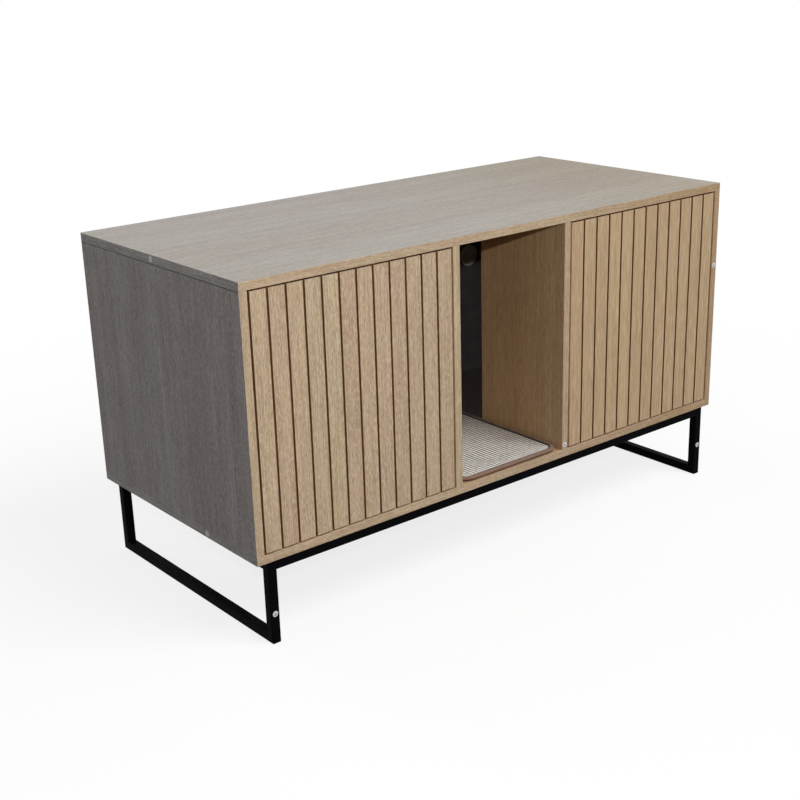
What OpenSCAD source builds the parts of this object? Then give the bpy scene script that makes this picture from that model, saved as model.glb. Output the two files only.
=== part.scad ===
// Cat house: an oak-look carcass with two slatted doors and an open niche, on a steel sled base.
// Millimetres. The origin is on the floor at the middle of the footprint, the front faces -Y.

/* [Carcass] */
// Outer width of the carcass
body_w = 1200; // [1000:10:1400]
// Outer depth of the carcass
body_d = 538; // [460:2:620]
// Height of the carcass, without the base
body_h = 495; // [420:5:600]
// Thickness of the oak-look boards
board_t = 16; // [15:0.5:19]
// Radius that eases the edges of the boards
edge_r = 0.8; // [0.4:0.1:1.2]
// Clear width of the niche between the dividers
niche_w = 268; // [220:2:320]
// Depth of the dividers, from the front edge backwards
divider_d = 237.5; // [200:0.5:280]

/* [Back panel] */
// Thickness of the back panel
back_t = 5; // [4:0.5:6]
// From the rear edge of the carcass to the back panel
back_inset = 12; // [10:1:18]
// Depth of the grooves that hold the back panel
groove_depth = 5; // [4:0.5:7]
// Clearance at each face of the back panel in its grooves
groove_fit = 0.15; // [0.1:0.05:0.3]
// Clearance at the edges of the back panel in its grooves
groove_end_fit = 0.5; // [0.3:0.1:1]
// Diameter of the cable hole
cable_hole_d = 44; // [38:1:50]
// Centre of the cable hole, to the right of the middle
cable_hole_x = 355; // [300:5:450]
// Centre of the cable hole, above the bottom of the carcass
cable_hole_z = 296; // [150:2:350]
// Width of the rim by which the hole's plug covers the panel
plug_rim = 3; // [2:0.5:5]
// Thickness of the plug's face and of its skirt
plug_wall = 1.5; // [1.2:0.1:2.5]
// Height of the bead that snaps behind the back panel
plug_bead = 0.7; // [0.5:0.1:1]
// Length of the plug's skirt behind the back panel
plug_tail = 2.7; // [2.2:0.1:4]
// Width of the slots in the plug's skirt
plug_slot_w = 3; // [2:0.5:5]

/* [Doors] */
// Slats on each door
slat_count = 12; // [8:1:16]
// Gap between two slats, and beside each door
slat_gap = 4; // [3:0.5:6]
// Thickness of a slat
slat_t = 4; // [3:0.5:6]
// Radius of a slat's front edges
slat_r = 1; // [0.5:0.1:1.5]
// Thickness of the board that carries the slats
door_board_t = 12; // [12:0.5:16]
// Gap above and below a door
door_gap = 3; // [2.5:0.5:5]

/* [Door pivots] */
// Diameter of a pivot pin
pin_d = 5; // [4:0.5:6]
// Radial clearance of a pin in its bush
pin_fit = 0.05; // [0.02:0.01:0.1]
// Length of a pin inside the door
pin_in_door = 22; // [15:1:30]
// Length of a pin inside its bush
pin_in_bush = 8.5; // [6:0.5:9]
// Outer diameter of a bush
bush_d = 9; // [8:0.5:10]
// Diameter of a bush's flange
flange_d = 14; // [12:0.5:18]
// Thickness of a bush's flange
flange_t = 1; // [0.8:0.1:1.4]
// Diameter of the collar that carries the door on the flange
collar_d = 10; // [9:0.5:12]
// Gap between collar and flange
collar_gap = 0.1; // [0.05:0.05:0.2]
// Space left between a door's turning edge and the side panel
swing_clear = 0.8; // [0.5:0.1:1.2]

/* [Push latches] */
// Diameter of a latch plunger
plunger_d = 8; // [6:0.5:10]
// Travel of a latch plunger as the door opens
plunger_travel = 8; // [5:1:12]
// Length of a plunger that stays in its housing when it is out
plunger_grip = 28.4; // [24:0.2:32]
// Radial clearance of a plunger in its housing
plunger_fit = 0.05; // [0.02:0.01:0.1]
// Outer diameter of the housing's barrel
barrel_d = 13; // [12:0.5:16]
// Length of the housing
latch_len = 56; // [50:1:70]
// From the divider to the axis of the plunger
latch_off = 15; // [14:0.5:20]
// Height of the housing's mounting plate
latch_plate_h = 30; // [28:1:40]
// Thickness of the housing's mounting plate
latch_plate_t = 3; // [2.5:0.5:4]
// From the strike plate to the front of the housing
latch_setback = 5.8; // [5:0.2:8]
// Diameter of the magnet in the plunger's tip
magnet_d = 6; // [4:0.5:6]
// Thickness of the magnet
magnet_t = 2.5; // [2:0.5:4]
// The magnet stands this far out of the plunger
magnet_proud = 0.2; // [0.1:0.1:0.5]
// Diameter of a strike plate
strike_d = 18; // [14:1:20]
// Thickness of a strike plate
strike_t = 1.2; // [0.8:0.1:2]
// Air between a strike plate and the closed magnet
strike_gap = 0.2; // [0.1:0.1:0.3]
// Diameter of the screws of latches and strike plates
small_screw_d = 3; // [2.5:0.1:3.2]
// Diameter of the head of such a screw
small_head_d = 6; // [5:0.2:6.4]
// Height of the head of such a screw
small_head_h = 1.5; // [1.2:0.1:1.8]
// Length of such a screw
small_screw_len = 11; // [8:0.5:11]
// From each end of a latch housing to its screw
latch_screw_edge = 10; // [6:1:15]

/* [Panel fittings] */
// Diameter of a cam lock
cam_d = 15; // [12:1:18]
// Board left behind a cam lock
cam_floor = 3.5; // [3:0.5:5]
// From the end of an upright board to a cam's centre
cam_dist = 34; // [24:1:40]
// Diameter of the bore that a cam bolt's shank lies in
bolt_bore_d = 8; // [7:0.5:9]
// Diameter of a cam bolt's thread
thread_d = 6; // [5:0.5:7]
// Depth of a cam bolt's thread in the top or bottom panel
bolt_thread = 10.5; // [9:0.5:12]
// Diameter of a cam bolt's shank
shank_d = 5; // [4:0.5:6]
// Diameter of a cam bolt's head and collar
bolt_head_d = 6.8; // [6:0.1:7]
// Height of a cam bolt's head
bolt_head_h = 4; // [3:0.2:5]
// Diameter of the neck behind a cam bolt's head
neck_d = 3.2; // [2.5:0.1:4]
// Room round a cam bolt's head in the cam
channel_gap = 0.35; // [0.2:0.05:0.5]
// Diameter of a wooden dowel
dowel_d = 8; // [6:1:10]
// Depth of a dowel in the top or bottom panel
dowel_in_panel = 10.5; // [9:0.5:12]
// Depth of a dowel in an upright board
dowel_in_upright = 19.5; // [15:0.5:25]
// From the front and rear edges to a side panel's cams
side_cam_edge = 60; // [40:5:90]
// From the front and rear edges to a side panel's dowels
side_dowel_edge = 130; // [110:5:180]
// From the front and rear edges of a divider to its cams
div_cam_edge = 45; // [30:5:60]
// Clearance round a pressed or screwed fitting
seat_fit = 0.1; // [0.05:0.05:0.15]

/* [Sled base] */
// Height of the base
base_h = 157; // [120:1:220]
// Outer size of the square steel tube
tube_s = 18; // [15:1:25]
// Wall of the steel tube
tube_wall = 1.5; // [1.2:0.1:2.5]
// Outer corner radius of the steel tube
tube_r = 2; // [1.8:0.1:3]
// From each side of the carcass to the base
base_inset_x = 22; // [10:1:60]
// From the front and rear of the carcass to the base
base_inset_y = 2; // [1:1:30]
// Diameter of a base screw
screw_d = 4; // [3.5:0.5:5]
// Depth of a base screw in the bottom panel
screw_in_panel = 12; // [10:0.5:13]
// Diameter of the head of a base screw
screw_head_d = 9; // [7:0.5:10]
// Height of the head of a base screw
screw_head_h = 2.6; // [2:0.2:3.2]
// Clearance of a base screw in the tube's wall
screw_wall_fit = 0.3; // [0.2:0.1:0.5]
// Clearance of a base screw's head in the hole through which it is driven
access_fit = 1; // [0.5:0.1:1.5]
// From the front and rear of the base to the screws in its side tubes
side_screw_edge = 115; // [60:5:150]
// From the side frames to the screws in the rails
rail_screw_edge = 260; // [100:10:400]

/* [Mat] */
// Gap between the mat and each divider
mat_side_gap = 3; // [1:0.5:20]
// Gap between the mat and the back panel
mat_rear_gap = 15; // [5:1:200]
// Thickness of the woven field
weave_t = 7; // [5:0.5:10]
// Thickness of the bound edge
band_t = 8.5; // [6:0.5:12]
// Width of the binding
band_w = 11; // [8:1:16]
// Radius of the mat's corners
mat_r = 28; // [20:1:40]
// From the front edge of the bottom panel to the mat
mat_setback = 6; // [4:1:12]
// Air under and inside the soft parts
soft_gap = 0.3; // [0.2:0.1:0.3]

/* [Hidden] */
$fn = 48;
// Cuts run past the faces that they open by this much
over = 1;
// Chamfer at the ends of bolts, dowels and screws
lead = 1;
// Cross slots: length, width and depth
cam_slot = [8, 1.6, 1.5];
screw_slot = [4, 0.9, 1.2];
small_slot = [2.8, 0.7, 0.8];
oak = "#bea582";
oak_top = "#ada79f";
charcoal = "#211c1e";
black_steel = "#101012";
zinc = "#b9bcc0";
front_y = -body_d / 2;
rear_y = body_d / 2;
side_in = body_w / 2 - board_t;
side_mid = body_w / 2 - board_t / 2;
div_in = niche_w / 2;
div_out = div_in + board_t;
div_mid = div_in + board_t / 2;
carcass_top = base_h + body_h;
floor_top = base_h + board_t;
roof_under = carcass_top - board_t;
mid_z = (floor_top + roof_under) / 2;
back_y = rear_y - back_inset - back_t;
mat_y = front_y + mat_setback;
mat_w = niche_w - 2 * mat_side_gap;
mat_l = back_y - mat_rear_gap - mat_y;
bay_w = side_in - div_out;
door_w = bay_w - 2 * slat_gap;
door_t = slat_t + door_board_t;
door_z = floor_top + door_gap;
door_h = roof_under - floor_top - 2 * door_gap;
door_x = div_out + slat_gap;
door_back_y = front_y + door_t;
slat_pitch = (bay_w - slat_gap) / slat_count;
slat_w = slat_pitch - slat_gap;
// The pin sits so far from the door's edge that the turning corner clears the side panel
pin_from_front = slat_t + door_board_t / 2;
swing_gap = slat_gap - swing_clear;
pin_inset = (pow(pin_from_front, 2) - pow(swing_gap, 2)) / (2 * swing_gap);
pin_x = side_in - slat_gap - pin_inset;
pin_y = front_y + pin_from_front;
bush_len = pin_in_bush + lead;
latch_x = div_out + latch_off;
tip_y = door_back_y + strike_t + strike_gap;
latch_y = door_back_y + strike_t + latch_setback;
latch_ear = (barrel_d + latch_plate_h) / 4;
plunger_len = latch_setback - strike_gap + plunger_travel + plunger_grip;
cam_depth = board_t - cam_floor;
side_cam_y = [front_y + side_cam_edge, rear_y - side_cam_edge];
side_dowel_y = [front_y + side_dowel_edge, rear_y - side_dowel_edge];
div_cam_y = [front_y + div_cam_edge, front_y + divider_d - div_cam_edge];
div_dowel_y = [front_y + divider_d / 2];
frame_x = body_w / 2 - base_inset_x;
frame_y = body_d / 2 - base_inset_y;
frame_in = frame_x - tube_s;
tube_x = frame_x - tube_s / 2;
tube_y = frame_y - tube_s / 2;
side_screw_y = frame_y - side_screw_edge;
rail_screw_x = frame_in - rail_screw_edge;

// Rectangle with rounded corners, from the origin
module round_rect(w, h, r) {
    translate([r, 0]) square([w - 2 * r, h]);
    translate([0, r]) square([w, h - 2 * r]);
    for (x = [r, w - r], y = [r, h - r]) {
        translate([x, y]) circle(r);
    }
}

// Board between two corners, with all its edges eased
module board(low, high) {
    size = high - low;
    translate(low) intersection() {
        linear_extrude(size.z) round_rect(size.x, size.y, edge_r);
        translate([0, size.y, 0]) rotate([90, 0, 0])
            linear_extrude(size.y) round_rect(size.x, size.z, edge_r);
        rotate([90, 0, 90]) linear_extrude(size.x) round_rect(size.y, size.z, edge_r);
    }
}

// Round bar or bore along X, from x0 to x1
module x_bar(d, x0, x1) {
    translate([min(x0, x1), 0, 0]) rotate([0, 90, 0]) cylinder(d = d, h = abs(x1 - x0));
}

// Round bar or bore along Y, from y0 to y1
module y_bar(d, y0, y1) {
    translate([0, max(y0, y1), 0]) rotate([90, 0, 0]) cylinder(d = d, h = abs(y1 - y0));
}

// Round bar or bore along Z, from z0 to z1
module z_bar(d, z0, z1) {
    translate([0, 0, min(z0, z1)]) cylinder(d = d, h = abs(z1 - z0));
}

// Prism with its outline in the YZ plane
module yz_prism(outline, x0, x1) {
    translate([x0, 0, 0]) rotate([90, 0, 90]) linear_extrude(x1 - x0) polygon(outline);
}

// The right-hand shape, or its mirror image on the left
module on_side(side) {
    mirror([side < 0 ? 1 : 0, 0, 0]) children();
}

// Children at the joint of an upright board with the roof and with the floor panel,
// with +Z pointing out of the upright board
module at_both_ends(x, ys) {
    for (y = ys) {
        translate([x, y, roof_under]) children();
        translate([x, y, floor_top]) mirror([0, 0, 1]) children();
    }
}

// Children at every joint with a cam bolt
module at_cam_bolts() {
    for (side = [-1, 1]) {
        at_both_ends(side * side_mid, side_cam_y) children();
        at_both_ends(side * div_mid, div_cam_y) children();
    }
}

// Children at every joint with a dowel
module at_dowels() {
    for (side = [-1, 1]) {
        at_both_ends(side * side_mid, side_dowel_y) children();
        at_both_ends(side * div_mid, div_dowel_y) children();
    }
}

// Bores of an upright board at x: the cams open on the face that lies towards side "face"
module upright_bores(x, face, cam_ys, dowel_ys) {
    face_x = face * board_t / 2;
    at_both_ends(x, cam_ys) {
        z_bar(bolt_bore_d, -cam_dist, over);
        translate([0, 0, -cam_dist]) x_bar(cam_d, face_x - face * cam_depth, face_x + face * over);
    }
    at_both_ends(x, dowel_ys) {
        z_bar(dowel_d + 2 * seat_fit, -dowel_in_upright - seat_fit, over);
    }
}

// Bores in the inner face of the top and bottom panels
module panel_bores() {
    at_cam_bolts() z_bar(thread_d + 2 * seat_fit, -over, bolt_thread + seat_fit);
    at_dowels() z_bar(dowel_d + 2 * seat_fit, -over, dowel_in_panel + seat_fit);
    at_pivots() z_bar(bush_d + 2 * seat_fit, -over, bush_len + seat_fit);
}

// Children at the four pivots, with +Z pointing from the door into the panel
module at_pivots() {
    for (side = [-1, 1]) {
        on_side(side) at_door_pivots() children();
    }
}

// Children at the two pivots of the right door
module at_door_pivots() {
    at_both_ends(pin_x, [pin_y]) children();
}

// Space of the back panel with the given clearance at its faces and edges
module back_space(face_gap, edge_gap) {
    reach_x = side_in + groove_depth - edge_gap;
    low_z = floor_top - groove_depth + edge_gap;
    high_z = roof_under + groove_depth - edge_gap;
    translate([-reach_x, back_y - face_gap, low_z])
        cube([2 * reach_x, back_t + 2 * face_gap, high_z - low_z]);
}

module at_base_screws() {
    for (side = [-1, 1], end = [-1, 1]) {
        translate([side * tube_x, end * side_screw_y, base_h]) children();
        translate([side * rail_screw_x, end * tube_y, base_h]) children();
    }
}

module top_panel() {
    color(oak_top) difference() {
        board([-body_w / 2, front_y, roof_under], [body_w / 2, rear_y, carcass_top]);
        back_space(groove_fit, 0);
        panel_bores();
    }
}

module bottom_panel() {
    color(oak) difference() {
        board([-body_w / 2, front_y, base_h], [body_w / 2, rear_y, floor_top]);
        back_space(groove_fit, 0);
        panel_bores();
        at_base_screws() z_bar(screw_d + 2 * seat_fit, -over, screw_in_panel + seat_fit);
    }
}

module side_panel(side) {
    color(oak) on_side(side) difference() {
        board([side_in, front_y, floor_top], [body_w / 2, rear_y, roof_under]);
        back_space(groove_fit, 0);
        upright_bores(side_mid, -1, side_cam_y, side_dowel_y);
    }
}

module divider(side) {
    color(oak) on_side(side) difference() {
        board([div_in, front_y, floor_top], [div_out, front_y + divider_d, roof_under]);
        upright_bores(div_mid, 1, div_cam_y, div_dowel_y);
        at_latch_screws() x_bar(small_screw_d + 2 * seat_fit, -small_screw_len - seat_fit, over);
    }
}

module back_panel() {
    color(charcoal) difference() {
        back_space(0, groove_end_fit);
        at_cable_hole() y_bar(cable_hole_d, back_y - over, back_y + back_t + over);
    }
}

module at_cable_hole() {
    translate([cable_hole_x, 0, base_h + cable_hole_z]) children();
}

// Snap-in plug: a face with a rim inside, and a slotted skirt that snaps behind the panel
module cable_hole_plug() {
    skirt_r = cable_hole_d / 2 - seat_fit;
    rim_r = cable_hole_d / 2 + plug_rim;
    rim_ease = plug_wall / 2;
    bead_r = skirt_r + plug_bead;
    inner_r = skirt_r - plug_wall;
    bead_z = back_t + seat_fit;
    tail_z = back_t + plug_tail;
    color("#4a4748") at_cable_hole() translate([0, back_y, 0]) rotate([-90, 0, 0]) difference() {
        rotate_extrude() polygon([
            [0, -plug_wall], [rim_r - rim_ease, -plug_wall], [rim_r, -rim_ease], [rim_r, 0],
            [skirt_r, 0], [skirt_r, bead_z], [bead_r, bead_z + plug_bead], [skirt_r, tail_z],
            [inner_r, tail_z], [inner_r, 0], [0, 0]
        ]);
        for (turn = [0, 90]) {
            rotate(turn) translate([-rim_r, -plug_slot_w / 2, over])
                cube([2 * rim_r, plug_slot_w, tail_z]);
        }
    }
}

// Cam lock: a disc with a cross slot, cut away where the bolt's head comes in
module cam_lock(face) {
    face_x = face * board_t / 2;
    translate([0, 0, -cam_dist]) difference() {
        x_bar(cam_d - 2 * seat_fit, face_x - face * (cam_depth - seat_fit), face_x);
        z_bar(bolt_head_d + 2 * channel_gap, -bolt_head_h / 2 - lead, cam_d);
        translate([face_x, 0, 0]) rotate([45, 0, 0]) rotate([0, 90, 0]) cross_slot(cam_slot);
    }
}

module cam_locks() {
    color(zinc) for (side = [-1, 1]) {
        on_side(side) {
            at_both_ends(side_mid, side_cam_y) cam_lock(-1);
            at_both_ends(div_mid, div_cam_y) cam_lock(1);
        }
    }
}

// Cam bolts: thread in the panel, collar, shank and the head that the cam draws in
module cam_bolts() {
    thread_r = thread_d / 2;
    head_r = bolt_head_d / 2;
    head_low = -cam_dist - bolt_head_h / 2;
    head_high = -cam_dist + bolt_head_h / 2;
    neck_high = head_high + 3 * lead;
    color(zinc) at_cam_bolts() rotate_extrude() polygon([
        [0, bolt_thread], [thread_r - lead, bolt_thread], [thread_r, bolt_thread - lead], [thread_r, 0],
        [head_r, 0], [head_r, -lead], [shank_d / 2, -lead], [shank_d / 2, neck_high + lead],
        [neck_d / 2, neck_high], [neck_d / 2, head_high], [head_r, head_high - lead],
        [head_r, head_low + lead], [head_r - lead, head_low], [0, head_low]
    ]);
}

// Two crossed slots in a face at z = 0: size is length, width and depth
module cross_slot(size) {
    for (turn = [0, 90]) {
        rotate(turn) cube([size.x, size.y, 2 * size.z], center = true);
    }
}

// Wooden dowels with chamfered ends
module panel_dowels() {
    r = dowel_d / 2;
    low = -dowel_in_upright;
    color("#d8bd8c") at_dowels() rotate_extrude() polygon([
        [0, low], [r - lead, low], [r, low + lead], [r, dowel_in_panel - lead],
        [r - lead, dowel_in_panel], [0, dowel_in_panel]
    ]);
}

// Section of the square tube, centred on the origin
module tube_section() {
    inner = tube_s - 2 * tube_wall;
    difference() {
        translate([-tube_s / 2, -tube_s / 2]) round_rect(tube_s, tube_s, tube_r);
        translate([-inner / 2, -inner / 2]) round_rect(inner, inner, tube_r - tube_wall);
    }
}

// Vertical tube of a side frame with both ends mitred; end is -1 at the front, 1 at the rear
module leg(side, end) {
    s = tube_s;
    outer = end * frame_y;
    inner = end * (frame_y - s);
    color(black_steel) on_side(side) intersection() {
        translate([tube_x, end * tube_y, 0]) linear_extrude(base_h) tube_section();
        yz_prism([[outer, 0], [outer, base_h], [inner, base_h - s], [inner, s]],
            frame_in - over, frame_x + over);
    }
}

// Level tube of a side frame with both ends mitred, from z towards z + rise
module level_tube(side, z, rise) {
    color(black_steel) on_side(side) difference() {
        intersection() {
            translate([tube_x, frame_y, z + rise / 2]) rotate([90, 0, 0])
                linear_extrude(2 * frame_y) tube_section();
            yz_prism([[-frame_y, z], [frame_y, z], [frame_y - tube_s, z + rise],
                [tube_s - frame_y, z + rise]], frame_in - over, frame_x + over);
        }
        if (rise < 0) {
            base_screw_holes();
        }
    }
}

// Rail between the side frames; end is -1 at the front, 1 at the rear
module rail(end) {
    color(black_steel) difference() {
        translate([-frame_in, end * tube_y, base_h - tube_s / 2]) rotate([90, 0, 90])
            linear_extrude(2 * frame_in) tube_section();
        base_screw_holes();
    }
}

// Each screw passes the tube's upper wall; the wider hole below lets the driver in
module base_screw_holes() {
    at_base_screws() {
        z_bar(screw_d + 2 * screw_wall_fit, -tube_wall - over, over);
        z_bar(screw_head_d + 2 * access_fit, -tube_s - over, -tube_s / 2);
    }
}

module base_screws() {
    r = screw_d / 2;
    head_r = screw_head_d / 2;
    head_z = -tube_wall - screw_head_h;
    color(zinc) at_base_screws() difference() {
        rotate_extrude() polygon([
            [0, head_z], [head_r - lead, head_z], [head_r, head_z + lead], [head_r, -tube_wall],
            [r, -tube_wall], [r, screw_in_panel - r], [0, screw_in_panel]
        ]);
        translate([0, 0, head_z]) cross_slot(screw_slot);
    }
}

// Flanged bushes in the top and bottom panels
module pivot_bushes(side) {
    color("#604630") on_side(side) at_door_pivots() difference() {
        union() {
            z_bar(bush_d, -flange_t, bush_len);
            z_bar(flange_d, -flange_t, 0);
        }
        z_bar(pin_d + 2 * pin_fit, -flange_t - over, bush_len + over);
    }
}

// Pivot pins with the collars that keep the door off the flanges
module pivot_pins(side) {
    color(zinc) on_side(side) at_door_pivots() {
        z_bar(pin_d, -door_gap - pin_in_door, pin_in_bush);
        z_bar(collar_d, -door_gap, -flange_t - collar_gap);
    }
}

// Board of a door, with the bores of its pivot pins and of the strike plate's screw
module door_board(side) {
    color("#5a4630") on_side(side) difference() {
        board([door_x, front_y + slat_t, door_z], [door_x + door_w, door_back_y, door_z + door_h]);
        at_door_pivots() z_bar(pin_d + 2 * seat_fit, -door_gap - pin_in_door - seat_fit, over);
        at_strike() {
            y_bar(small_screw_d + 2 * seat_fit, strike_t - small_screw_len - seat_fit, over);
            countersink(strike_t);
        }
    }
}

// Slats with rounded front edges, glued to the door's board
module door_slats(side) {
    color(oak) on_side(side) for (i = [0 : slat_count - 1]) {
        translate([door_x + i * slat_pitch, front_y, door_z]) linear_extrude(door_h) slat_section();
    }
}

module slat_section() {
    translate([0, slat_r]) square([slat_w, slat_t - slat_r]);
    translate([slat_r, 0]) square([slat_w - 2 * slat_r, slat_t]);
    for (x = [slat_r, slat_w - slat_r]) {
        translate([x, slat_r]) circle(slat_r);
    }
}

module at_strike() {
    translate([latch_x, door_back_y, mid_z]) children();
}

// Steel disc that the magnet holds, countersunk for its screw
module strike_plate(side) {
    color(zinc) on_side(side) at_strike() difference() {
        y_bar(strike_d, 0, strike_t);
        y_bar(small_screw_d + 2 * seat_fit, -over, strike_t + over);
        countersink(strike_t);
    }
}

module strike_screw(side) {
    color(zinc) on_side(side) at_strike() rotate([-90, 0, 0]) small_screw(strike_t);
}

// Room for a small screw's head below a face at y
module countersink(y) {
    translate([0, y, 0]) rotate([-90, 0, 0]) small_head(seat_fit);
}

// Conical head with its face at the origin, facing +Z
module small_head(gap) {
    low = -small_head_h - gap;
    rotate_extrude() polygon([
        [0, low], [small_screw_d / 2 + gap, low], [small_head_d / 2 + gap, 0],
        [small_head_d / 2 + gap, gap], [0, gap]
    ]);
}

// Countersunk screw with its face at z
module small_screw(z) {
    r = small_screw_d / 2;
    tip = z - small_screw_len;
    difference() {
        rotate_extrude() polygon([
            [0, z], [small_head_d / 2, z], [r, z - small_head_h], [r, tip + r], [0, tip]
        ]);
        translate([0, 0, z]) cross_slot(small_slot);
    }
}

// Children at the screws of the right latch, with the divider's face at x = 0
module at_latch_screws() {
    for (end = [-1, 1]) {
        y = latch_y + latch_len / 2 + end * (latch_len / 2 - latch_screw_edge);
        translate([div_out, y, mid_z + end * latch_ear]) children();
    }
}

// Latch housing: a barrel on a mounting plate, bored for the plunger
module latch_housing(side) {
    bore_len = plunger_len + strike_gap;
    color("#d9d6ce") on_side(side) difference() {
        translate([div_out, latch_y + latch_len, mid_z]) rotate([90, 0, 0]) linear_extrude(latch_len) {
            translate([0, -latch_plate_h / 2]) square([latch_plate_t, latch_plate_h]);
            translate([0, -barrel_d / 2]) square([latch_off, barrel_d]);
            translate([latch_off, 0]) circle(d = barrel_d);
        }
        translate([latch_x, 0, mid_z])
            y_bar(plunger_d + 2 * plunger_fit, latch_y - over, tip_y + bore_len);
        at_latch_screws() {
            x_bar(small_screw_d + 2 * seat_fit, -over, latch_plate_t + over);
            translate([latch_plate_t, 0, 0]) rotate([0, 90, 0]) small_head(seat_fit);
        }
    }
}

module latch_screws() {
    color(zinc) for (side = [-1, 1]) {
        on_side(side) at_latch_screws() rotate([0, 90, 0]) small_screw(latch_plate_t);
    }
}

module latch_plunger(side) {
    color("#c9c6be") on_side(side) translate([latch_x, tip_y, mid_z]) difference() {
        y_bar(plunger_d, magnet_proud, plunger_len);
        y_bar(magnet_d + 2 * seat_fit, -over, magnet_t + seat_fit);
    }
}

module latch_magnet(side) {
    color("#8f9296") on_side(side) translate([latch_x, tip_y, mid_z]) y_bar(magnet_d, 0, magnet_t);
}

// Outline of the mat, drawn in from its edge by the given width
module mat_outline(inset) {
    translate([inset - mat_w / 2, mat_y + inset])
        round_rect(mat_w - 2 * inset, mat_l - 2 * inset, mat_r - inset);
}

module mat_weave() {
    color("#cfc7b4") translate([0, 0, floor_top + soft_gap])
        linear_extrude(weave_t) mat_outline(band_w + soft_gap);
}

module mat_binding() {
    color("#5d4632") translate([0, 0, floor_top + soft_gap]) linear_extrude(band_t) difference() {
        mat_outline(0);
        mat_outline(band_w);
    }
}

top_panel();
bottom_panel();
side_panel(-1);  // left_side_panel
side_panel(1);  // right_side_panel
divider(-1);  // left_divider
divider(1);  // right_divider
back_panel();
cable_hole_plug();
cam_locks();
cam_bolts();
panel_dowels();
leg(-1, -1);  // left_front_leg
leg(-1, 1);  // left_rear_leg
level_tube(-1, 0, tube_s);  // left_skid
level_tube(-1, base_h, -tube_s);  // left_top_tube
leg(1, -1);  // right_front_leg
leg(1, 1);  // right_rear_leg
level_tube(1, 0, tube_s);  // right_skid
level_tube(1, base_h, -tube_s);  // right_top_tube
rail(-1);  // front_rail
rail(1);  // rear_rail
base_screws();
pivot_bushes(-1);  // left_pivot_bushes
pivot_bushes(1);  // right_pivot_bushes
latch_housing(-1);  // left_latch_housing
latch_housing(1);  // right_latch_housing
latch_screws();
latch_plunger(-1);  // left_latch_plunger
latch_plunger(1);  // right_latch_plunger
latch_magnet(-1);  // left_latch_magnet
latch_magnet(1);  // right_latch_magnet
door_board(-1);  // left_door_board
door_board(1);  // right_door_board
door_slats(-1);  // left_door_slats
door_slats(1);  // right_door_slats
pivot_pins(-1);  // left_pivot_pins
pivot_pins(1);  // right_pivot_pins
strike_plate(-1);  // left_strike_plate
strike_plate(1);  // right_strike_plate
strike_screw(-1);  // left_strike_screw
strike_screw(1);  // right_strike_screw
mat_weave();
mat_binding();
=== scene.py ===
"""Looks of the cat house: finishes for its boards, doors and base, the woven mat, and the labels.

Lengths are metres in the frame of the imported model: the floor is z = 0, the origin is at the
middle of the footprint, and the doors and the niche face -Y.
"""

import logging
import math
from contextlib import contextmanager
from dataclasses import dataclass
from enum import Enum
from typing import ClassVar, Iterator, NamedTuple, Optional, Sequence, Union

import bpy
import numpy as np
from mathutils import Euler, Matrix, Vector


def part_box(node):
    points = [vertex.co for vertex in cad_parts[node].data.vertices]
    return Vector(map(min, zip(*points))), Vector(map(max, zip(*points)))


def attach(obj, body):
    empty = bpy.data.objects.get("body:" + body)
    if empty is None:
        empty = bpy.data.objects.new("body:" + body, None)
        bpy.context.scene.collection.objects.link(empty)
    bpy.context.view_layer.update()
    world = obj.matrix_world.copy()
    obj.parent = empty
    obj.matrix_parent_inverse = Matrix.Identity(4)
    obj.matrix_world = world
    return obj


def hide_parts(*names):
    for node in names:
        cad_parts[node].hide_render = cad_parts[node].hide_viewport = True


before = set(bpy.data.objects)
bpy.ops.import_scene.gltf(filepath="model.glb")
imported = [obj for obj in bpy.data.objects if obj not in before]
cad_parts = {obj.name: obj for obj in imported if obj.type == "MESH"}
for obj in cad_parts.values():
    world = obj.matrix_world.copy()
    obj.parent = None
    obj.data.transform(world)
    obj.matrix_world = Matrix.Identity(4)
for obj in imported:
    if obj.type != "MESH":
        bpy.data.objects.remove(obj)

LOG = logging.getLogger("cat_house")
RANDOM_SEED = 7

ONES = (1.0, 1.0, 1.0)

Colour = tuple[float, float, float, float]
Socket = bpy.types.NodeSocket
Source = Union[Socket, float, tuple]
Sockets = bpy.types.bpy_prop_collection
Profile = list[tuple[float, float]]


class Grain(Enum):
    """Direction in which the grain of a board runs."""

    ACROSS = "X"
    UPRIGHT = "Z"


class Facing(Enum):
    """Side of the furniture that a label is stuck on, as the turn of its upright text."""

    FRONT = (math.radians(90), 0.0, 0.0)
    LEFT = (math.radians(90), 0.0, math.radians(-90))


class Blend(Enum):
    """What a Mix node mixes: its data type, its first input of that type and its output."""

    COLOURS = ("RGBA", 6, 2)
    VECTORS = ("VECTOR", 4, 1)


class Kind(Enum):
    """Kind of a node group's socket."""

    VALUE = "NodeSocketFloat"
    VECTOR = "NodeSocketVector"


def srgb(red: int, green: int, blue: int) -> Colour:
    """Turns a colour as a screen shows it into a shader's linear colour.

    Args:
        red: Red from 0 to 255.
        green: Green from 0 to 255.
        blue: Blue from 0 to 255.

    Returns:
        The linear colour with full alpha.
    """
    shares = [value / 255 for value in (red, green, blue)]
    linear = [share / 12.92 if share <= 0.04045 else ((share + 0.055) / 1.055) ** 2.4 for share in shares]
    return (*linear, 1.0)


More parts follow.
